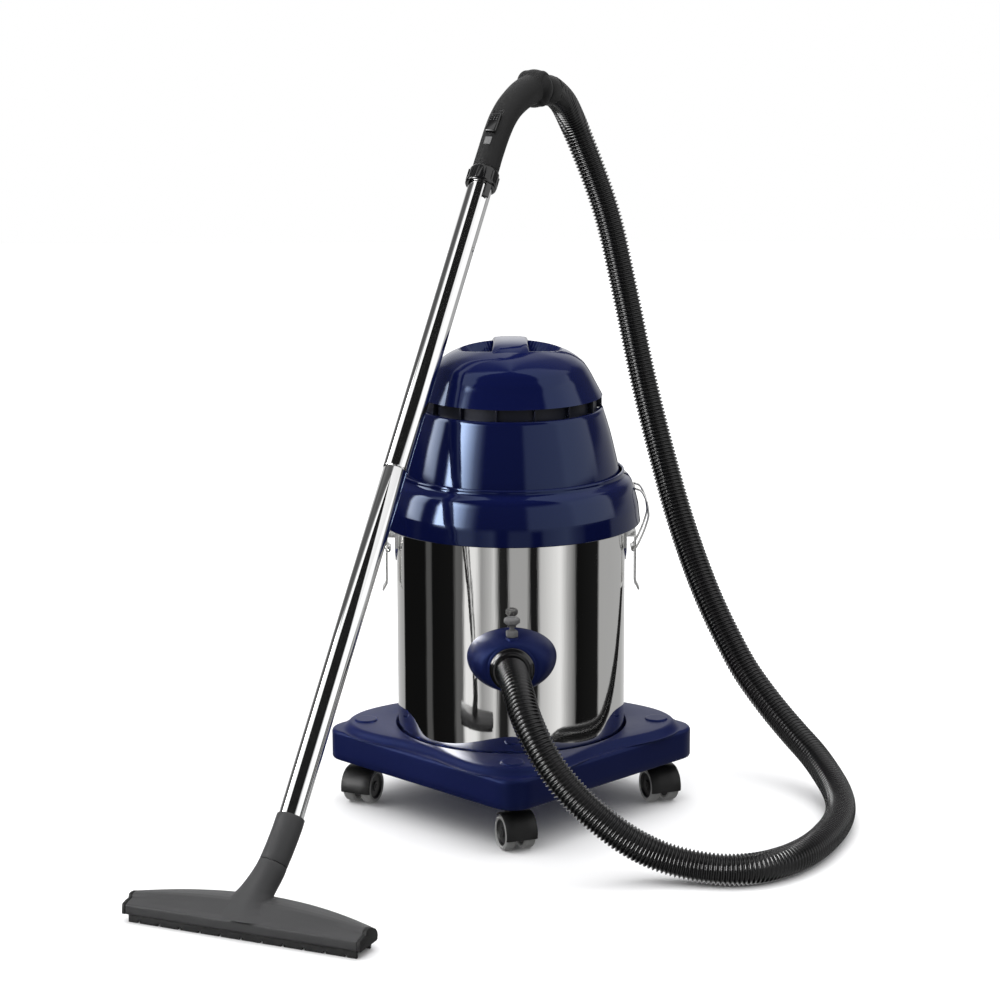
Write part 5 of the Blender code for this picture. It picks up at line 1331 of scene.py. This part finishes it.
    def dome(self) -> None:
        """Make the dome with its hand well, and the carrying bar across it."""
        knots = [Vector((r, z, 0)) for r, z in self.dome_profile]
        self.curve = [(p.x, p.y) for p in smooth_path([Vector((-0.040, 0.6780, 0)), *knots],
                                                      0.003) if p.x >= -0.001]
        self.curve[-1] = self.dome_profile[-1]
        low = math.atan2(0.6035 - self.eye, 0.1315)
        rows, count = 150, 240
        rings = []
        for row in range(rows):
            rise = low + (math.pi / 2 - 0.004 - low) * row / (rows - 1)
            ring = []
            for step in range(count):
                angle = 2 * math.pi * step / count
                reach = self.reach(angle, rise)
                ring.append((reach * math.cos(rise) * math.cos(angle),
                             reach * math.cos(rise) * math.sin(angle),
                             self.eye + reach * math.sin(rise)))
            rings.append(ring)
        inner = []
        for row in range(0, rows, 3):
            ring = []
            for step in range(count):
                point = Vector(rings[row][step]) - Vector((0, 0, self.eye))
                point -= point.normalized() * 0.0034
                ring.append(point + Vector((0, 0, self.eye)))
            inner.append(ring)
        base = [[(x * k, y * k, 0.6035) for x, y, _ in rings[0]] for k in (0.992, 0.86, 0.86)]
        base[2] = [(x, y, 0.6062) for x, y, _ in base[2]]
        shell = loft("dome", [*reversed(rings), *base, *inner[1:]])
        finished(joined(shell, self.bar()), "top_dome", BLUE, angle=55)

    def bar(self) -> bpy.types.Object:
        """Make the carrying bar, which swells out to its two roots.

        Returns:
            The bar.
        """
        rings = []
        count = 40
        for step in range(count + 1):
            y = -0.063 + 0.126 * step / count
            share = abs(y) / 0.063
            top = self.dome_top + 0.0035 - 0.0032 * share ** 2 - 0.0105 * share ** 4
            thick = 0.0115 + 0.006 * share ** 3
            half = self.bar_half - 0.001 + 0.0045 * share ** 3
            ring = []
            for x, z in ((-1, -0.6), (-1, -0.35), (-0.96, -0.15), (-0.86, -0.03), (-0.5, 0.035), (0, 0.06),
                         (0.5, 0.035), (0.86, -0.03), (0.96, -0.15), (1, -0.35), (1, -0.6), (0.95, -0.88),
                         (0.8, -1.0), (0, -1.03), (-0.8, -1.0), (-0.95, -0.88)):
                ring.append((x * half, y, top + z * thick))
            rings.append(ring)
        return loft("bar", rings)

    def rocker(self) -> None:
        """Make the mains rocker and the cable gland."""
        refined("switch_rocker", GLOSS_BLACK, 0.0008)
        refined("cable_gland", GRIP_BLACK, 0.0004)

    def inside(self) -> None:
        """Dress what the head hides."""
        for node, finish in (("head_seal", RUBBER), ("motor_plate", INNER), ("fan_housing", ZINC), ("fan",
                                                                                                    ZINC),
                             ("motor", INNER), ("float_cage", HOOD_GREY), ("float", FLOAT), ("filter_sleeve",
                                                                                             FELT),
                             ("filter_clamp", PRESSED)):
            dressed(node, finish)

    def build(self) -> None:
        """Make the whole head."""
        self.rim()
        self.cover()
        self.vents()
        self.dome()
        self.rocker()
        self.inside()


# ---------------------------------------------------------------- wand

@dataclass
class Wand:
    """The chromed tubes, their buttons, the lock ring and the grip."""

    upper: float = 0.0178
    lower: float = 0.0168
    wall: float = 0.001
    joint: float = 0.512
    top: float = 1.000
    ring: float = 0.0235
    ring_low: float = 0.9757
    ring_top: float = 1.0027
    grip_path: tuple = ((0.0081, 0.0102, 0.0195), (0.022, 0.0280, 0.0192), (0.040, 0.0495, 0.0194),
                        (0.056, 0.0667, 0.0198), (0.073, 0.0812, 0.0202), (0.098, 0.0960, 0.0208),
                        (0.132, 0.1085, 0.0218), (0.160, 0.1150, 0.0226), (0.188, 0.1180, 0.0230))
    knuckle: float = 0.0285
    slide: float = 44.0

    @property
    def axis(self) -> Matrix:
        """The wand's frame, with Z up along it."""
        return frame_matrix(WAND_FOOT, UPWARD)

    def tubes(self) -> None:
        """Make the two tubes with a rolled lip at the joint, and the spring buttons."""
        thin, wide, wall, joint = self.lower, self.upper, self.wall, self.joint
        neck = thin - wall - 0.0003
        lower = turned("lower", [(thin - 0.0003, joint - 0.0003), (thin, joint - 0.0008), (thin, 0.25),
                                 (thin, -0.030),
                                 (thin - wall, -0.030), (thin - wall, joint - 0.0003)], 96)
        cut(lower, self.hole(0.4855, 90))
        finished(placed(lower, self.axis), "lower_tube", CHROME)
        upper = turned("upper", [(wide, self.top), (wide, 0.75), (wide, joint + 0.0022), (wide - 0.0003,
                                                                                          joint + 0.0008),
                                 (wide - 0.0010, joint), (neck, joint), (neck, joint - 0.060),
                                 (neck - wall, joint - 0.060), (neck - wall, joint + 0.001),
                                 (wide - wall, joint + 0.002), (wide - wall, self.top)], 96)
        cut(upper, self.hole(0.4855, 90))
        cut(upper, self.hole(0.870, -90))
        finished(placed(upper, self.axis), "upper_tube", CHROME)
        for node, place, turn, skin in (("lower_button", 0.4855, 90, thin), ("upper_button", 0.870, -90,
                                                                             wide)):
            high = skin + 0.0016
            button = turned("button", [(0, high), (0.0015, high - 0.0001), (0.0026, high - 0.0006),
                                       (0.0033, high - 0.0015), (0.0035, high - 0.0026), (0.0035,
                                                                                          0.0115), (0,
                                                                                                    0.0115)], 32)
            finished(placed(button, self.axis, moved(0, 0, place), spun(turn, "X")), node, ZINC)

    def hole(self, place: float, turn: float) -> bpy.types.Object:
        """A drill for a button's hole in the wand's frame."""
        drill = turned("drill", [(0, 0.002), (0.0038, 0.002), (0.0038, 0.04), (0, 0.04)], 24)
        return placed(drill, moved(0, 0, place), spun(turn, "X"))

    def lock_ring(self) -> None:
        """Make the ribbed lock ring with its tongue."""
        r, low, high = self.ring, self.ring_low, self.ring_top
        ring = turned("ring", [(r - 0.0040, high), (r - 0.0026, high - 0.0006), (r - 0.0014, high - 0.0035),
                               (r - 0.0014, high - 0.018), (r - 0.0004, high - 0.022), (r - 0.0004,
                                                                                        low + 0.0014),
                               (r - 0.0012, low), (0.0181, low), (0.0181, high)], 96)
        shells = [rounded(ring, 0.0003, 2)]
        for index in range(12):
            rib = block("rib", (r - 0.004, -0.0016, low + 0.004), (r, 0.0016, high - 0.0045), 0.0007)
            shells.append(placed(rib, spun(30 * index)))
        tongue = block("tongue", (0.0185, -0.0050, low - 0.022), (0.0213, 0.0050, low + 0.006), 0.0010)
        shells.append(placed(tongue, spun(60)))
        finished(placed(joined(*shells), self.axis), "lock_ring", GLOSS_BLACK)

    def grip(self) -> None:
        """Make the bent handle with its swivel housing, its slot and its bore."""
        path = smooth_path([in_plane(s, z) for s, z, _ in self.grip_path], 0.003)
        radii = graded(path, [r for _, _, r in self.grip_path])
        handle = swept("handle", path, radii, 64)
        centre = in_plane(*self.grip_path[-1][:2])
        knuckle = placed(ball("knuckle", (self.knuckle,) * 3, 72), Matrix.Translation(centre))
        across = frame_matrix(centre, sloped(-6)) @ spun(90, "X")
        drum = turned("drum", [(0, -0.0205), (0.0180, -0.0205), (0.0240, -0.0190), (0.0266, -0.0150),
                               (0.0275, 0), (0.0266, 0.0150), (0.0240, 0.0190), (0.0180, 0.0205), (0,
                                                                                                   0.0205)], 72)
        handle = joined(handle, knuckle, placed(drum, across))
        modified(handle, "REMESH", mode="VOXEL", voxel_size=0.0011)
        modified(handle, "SMOOTH", factor=0.5, iterations=5)
        cuff = in_plane(0.2059, 0.1161)
        out = sloped(-6)
        mouth = placed(turned("mouth", [(0, 0), (0.04, 0), (0.04, 0.04), (0, 0.04)], 48), frame_matrix(cuff,
                                                                                                       out))
        cut(handle, mouth)
        place = frame_matrix(in_plane(0.056, 0.0667), sloped(self.slide))
        slot = block("slot", (0.0165, -0.00885, -0.0225), (0.04, 0.00885, 0.0225), 0.003)
        cut(handle, placed(slot, place))
        finished(handle, "grip", GRIP_BLACK, angle=40)
        low = -0.0225 + 0.0003
        slider = block("slider", (0.0168, -0.00825, low), (0.0228, 0.00825, low + 0.034), 0.0022, 4)
        shells = [slider]
        for row in range(3):
            for column in (-1, 0, 1):
                dot = turned("dot", [(0, 0.0225), (0.0010, 0.0225), (0.0010, 0.0229), (0.0006, 0.0232), (0,
                                                                                                         0.0233)], 12)
                shells.append(placed(dot, moved(0, 0.0042 * column, low + 0.030 - 0.0042 * row), spun(90,
                                                                                                      "Y")))
        finished(placed(joined(*shells), place), "valve_slider", GLOSS_BLACK)
        blank = block("blank", (0.0188, -0.0052, -0.0065), (0.0199, 0.0052, 0.0065), 0.0003, 2)
        placed(blank, frame_matrix(in_plane(0.0330, 0.0413), sloped(50)))
        smooth(blank)
        blank.data.materials.append(KNOB.make())
        blank.name = "grip_blank"
        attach(blank, BODY_OF["grip"])

    def build(self) -> None:
        """Make the whole wand."""
        self.tubes()
        self.lock_ring()
        self.grip()


# ---------------------------------------------------------------- floor tool

@dataclass
class FloorTool:
    """The wide floor tool with its socket, caps and strips."""

    centre: tuple = (-0.3405, -0.5562)
    length: float = 0.345
    depth_end: float = 0.050
    depth_mid: float = 0.082
    low: float = 0.011
    top_end: float = 0.034
    top_mid: float = 0.042
    cap: float = 0.005
    strip_length: float = 0.330
    notches: int = 11

    @property
    def place(self) -> Matrix:
        """The tool's frame, with X along it and Y its heading."""
        return moved(*self.centre, 0) @ spun(math.degrees(WAND_HEADING) - 90)

    def section(self, x: float) -> list:
        """The tool's section at a place along it.

        Args:
            x: the place from its middle.

        Returns:
            Points round the section.
        """
        share = min(1.0, abs(x) / (self.length / 2))
        swell = 1 - share * share
        depth = self.depth_end + (self.depth_mid - self.depth_end) * swell
        top = self.top_end + (self.top_mid - self.top_end) * swell
        front = -self.depth_end / 2
        back = front + depth
        return [(front + 0.0010, self.low), (front, self.low + 0.0010), (front + 0.0004, self.low + 0.0070),
                (front + 0.0010, self.low + 0.0128), (front + 0.0020, self.low + 0.0140),
                (front + 0.0100, self.low + 0.0163), (front + 0.22 * depth + 0.006, top - 0.0062),
                (front + 0.38 * depth, top - 0.0012), (front + 0.47 * depth, top), (front + 0.60 * depth,
                                                                                    top - 0.0006),
                (back - 0.012, top - 0.0034), (back - 0.005, top - 0.0072), (back - 0.0012, top - 0.0120),
                (back, self.low + 0.006), (back - 0.001, self.low + 0.001), (back - 0.003, self.low)]

    def span(self, name: str, start: float, end: float, steps: int) -> bpy.types.Object:
        """Loft the section between two places.

        Args:
            name: the piece's name.
            start: the first place.
            end: the last place.
            steps: stations between them.

        Returns:
            The piece, in the tool's frame.
        """
        rings = []
        for step in range(steps + 1):
            x = start + (end - start) * step / steps
            rings.append([(x, y, z) for y, z in self.section(x)])
        return loft(name, rings)

    def socket(self) -> tuple:
        """The sleeve's path in the row frame.

        Returns:
            Its centres and its direction at the foot.
        """
        into = frame_matrix(WAND_FOOT, UPWARD)
        path = [into @ Vector((0, -0.0052 * (k / 8) ** 1.75, -0.065 * k / 8)) for k in range(9)]
        return path, (path[-2] - path[-1]).normalized()

    def neck(self) -> bpy.types.Object:
        """Make the neck: round under the sleeve, with a long fillet to one side and a short one to the other.

        Returns:
            The neck, in the row frame.
        """
        path, direction = self.socket()
        top = path[-1] - direction * 0.0003
        foot = Vector((*self.centre, self.top_mid - 0.016))
        across = Vector((direction.y, -direction.x, 0)).normalized()
        stations = ((0.0, 0.0192, 0.0192, 0.0192, 1.0), (0.10, 0.0198, 0.0194, 0.0195, 1.0),
                    (0.22, 0.0226, 0.0182, 0.0196, 1.0), (0.36, 0.0268, 0.0168, 0.0198, 0.8),
                    (0.50, 0.0318, 0.0164, 0.0202, 0.55), (0.64, 0.0378, 0.0178, 0.0212, 0.35),
                    (0.76, 0.0440, 0.0210, 0.0228, 0.2), (0.88, 0.0515, 0.0275, 0.0245, 0.1),
                    (1.0, 0.0590, 0.0370, 0.0265, 0.0))
        rings = []
        for share, left, right, deep, lean in stations:
            normal = Vector((0, 0, 1)).lerp(direction, lean).normalized()
            level = normal.cross(across)
            centre = top.lerp(foot, share) + Vector((0, 0, -0.004)) * math.sin(math.pi * share)
            ring = []
            for step in range(64):
                angle = 2 * math.pi * (step + 0.5) / 64
                c, s = math.cos(angle), math.sin(angle)
                ring.append(centre + across * ((right if c > 0 else left) * c) + level * (deep * s))
            rings.append(ring)
        return loft("neck", rings)

    def body(self) -> None:
        """Make the body and its neck as one smooth moulding, open underneath."""
        half = self.length / 2 - self.cap
        body = placed(self.span("body", -half, half, 60), self.place)
        body = joined(body, self.neck())
        modified(body, "REMESH", mode="VOXEL", voxel_size=0.0012)
        modified(body, "SMOOTH", factor=0.5, iterations=3)
        cut(body, placed(block("mouth", (-0.145, -0.010, -0.01), (0.145, 0.010, 0.023), 0.003), self.place))
        finished(body, "tool_body", TOOL_GREY, angle=45)

    def build(self) -> None:
        """Make the whole floor tool."""
        self.body()
        path, _ = self.socket()
        sleeve = swept("sleeve", path, [0.0188, 0.0190, 0.0190, 0.0190, 0.0190, 0.0190, 0.0190, 0.0190,
                                        0.0191], 72)
        drill = turned("drill", [(0, -0.0303), (0.0171, -0.0303), (0.0171, 0.01), (0, 0.01)], 72)
        cut(sleeve, placed(drill, frame_matrix(WAND_FOOT, UPWARD)))
        finished(rounded(sleeve, 0.0008, 3, 50), "tool_sleeve", TOOL_GREY)
        half = self.length / 2
        for label, hand in (("left", -1), ("right", 1)):
            low, high = sorted((hand * (half - self.cap + 0.0003), hand * half))
            cap = self.span("cap", low, high, 2)
            finished(placed(rounded(cap, 0.0004, 2, 50), self.place), f"tool_cap_{label}", GRIP_BLACK)
        self.strips()

    def strips(self) -> None:
        """Make the notched front strip and the plain back one."""
        half, thick, gap = self.strip_length / 2, 0.004, 0.0003
        for node, front, notches in (("strip_front", 0.004 - self.depth_end / 2, self.notches),
                                     ("strip_back", self.depth_end / 2 - 0.008, 0)):
            strip = block("strip", (-half, front, 0), (half, front + thick, self.low - gap), 0.0004, 2)
            for index in range(notches):
                x = self.strip_length * ((index + 0.5) / notches - 0.5)
                cut(strip, block("notch", (x - 0.002, front - 0.01, -0.01), (x + 0.002, front + 0.02,
                                                                             0.0035)))
            finished(placed(strip, self.place), node, RUBBER)


def main() -> None:
    """Build everything in order, camera and hose first."""
    logging.basicConfig(level=logging.INFO, format="%(message)s")
    studio = Studio()
    studio.camera()
    hose = Hose()
    hose.tube()
    hose.cuffs()
    for assembly in (Drum(), Trolley(), Casters(), Latches(), Head(), Wand(), FloorTool()):
        assembly.build()
        log.info("%s done", type(assembly).__name__)
    studio.build()
    free()


if __name__ == "__main__":
    main()
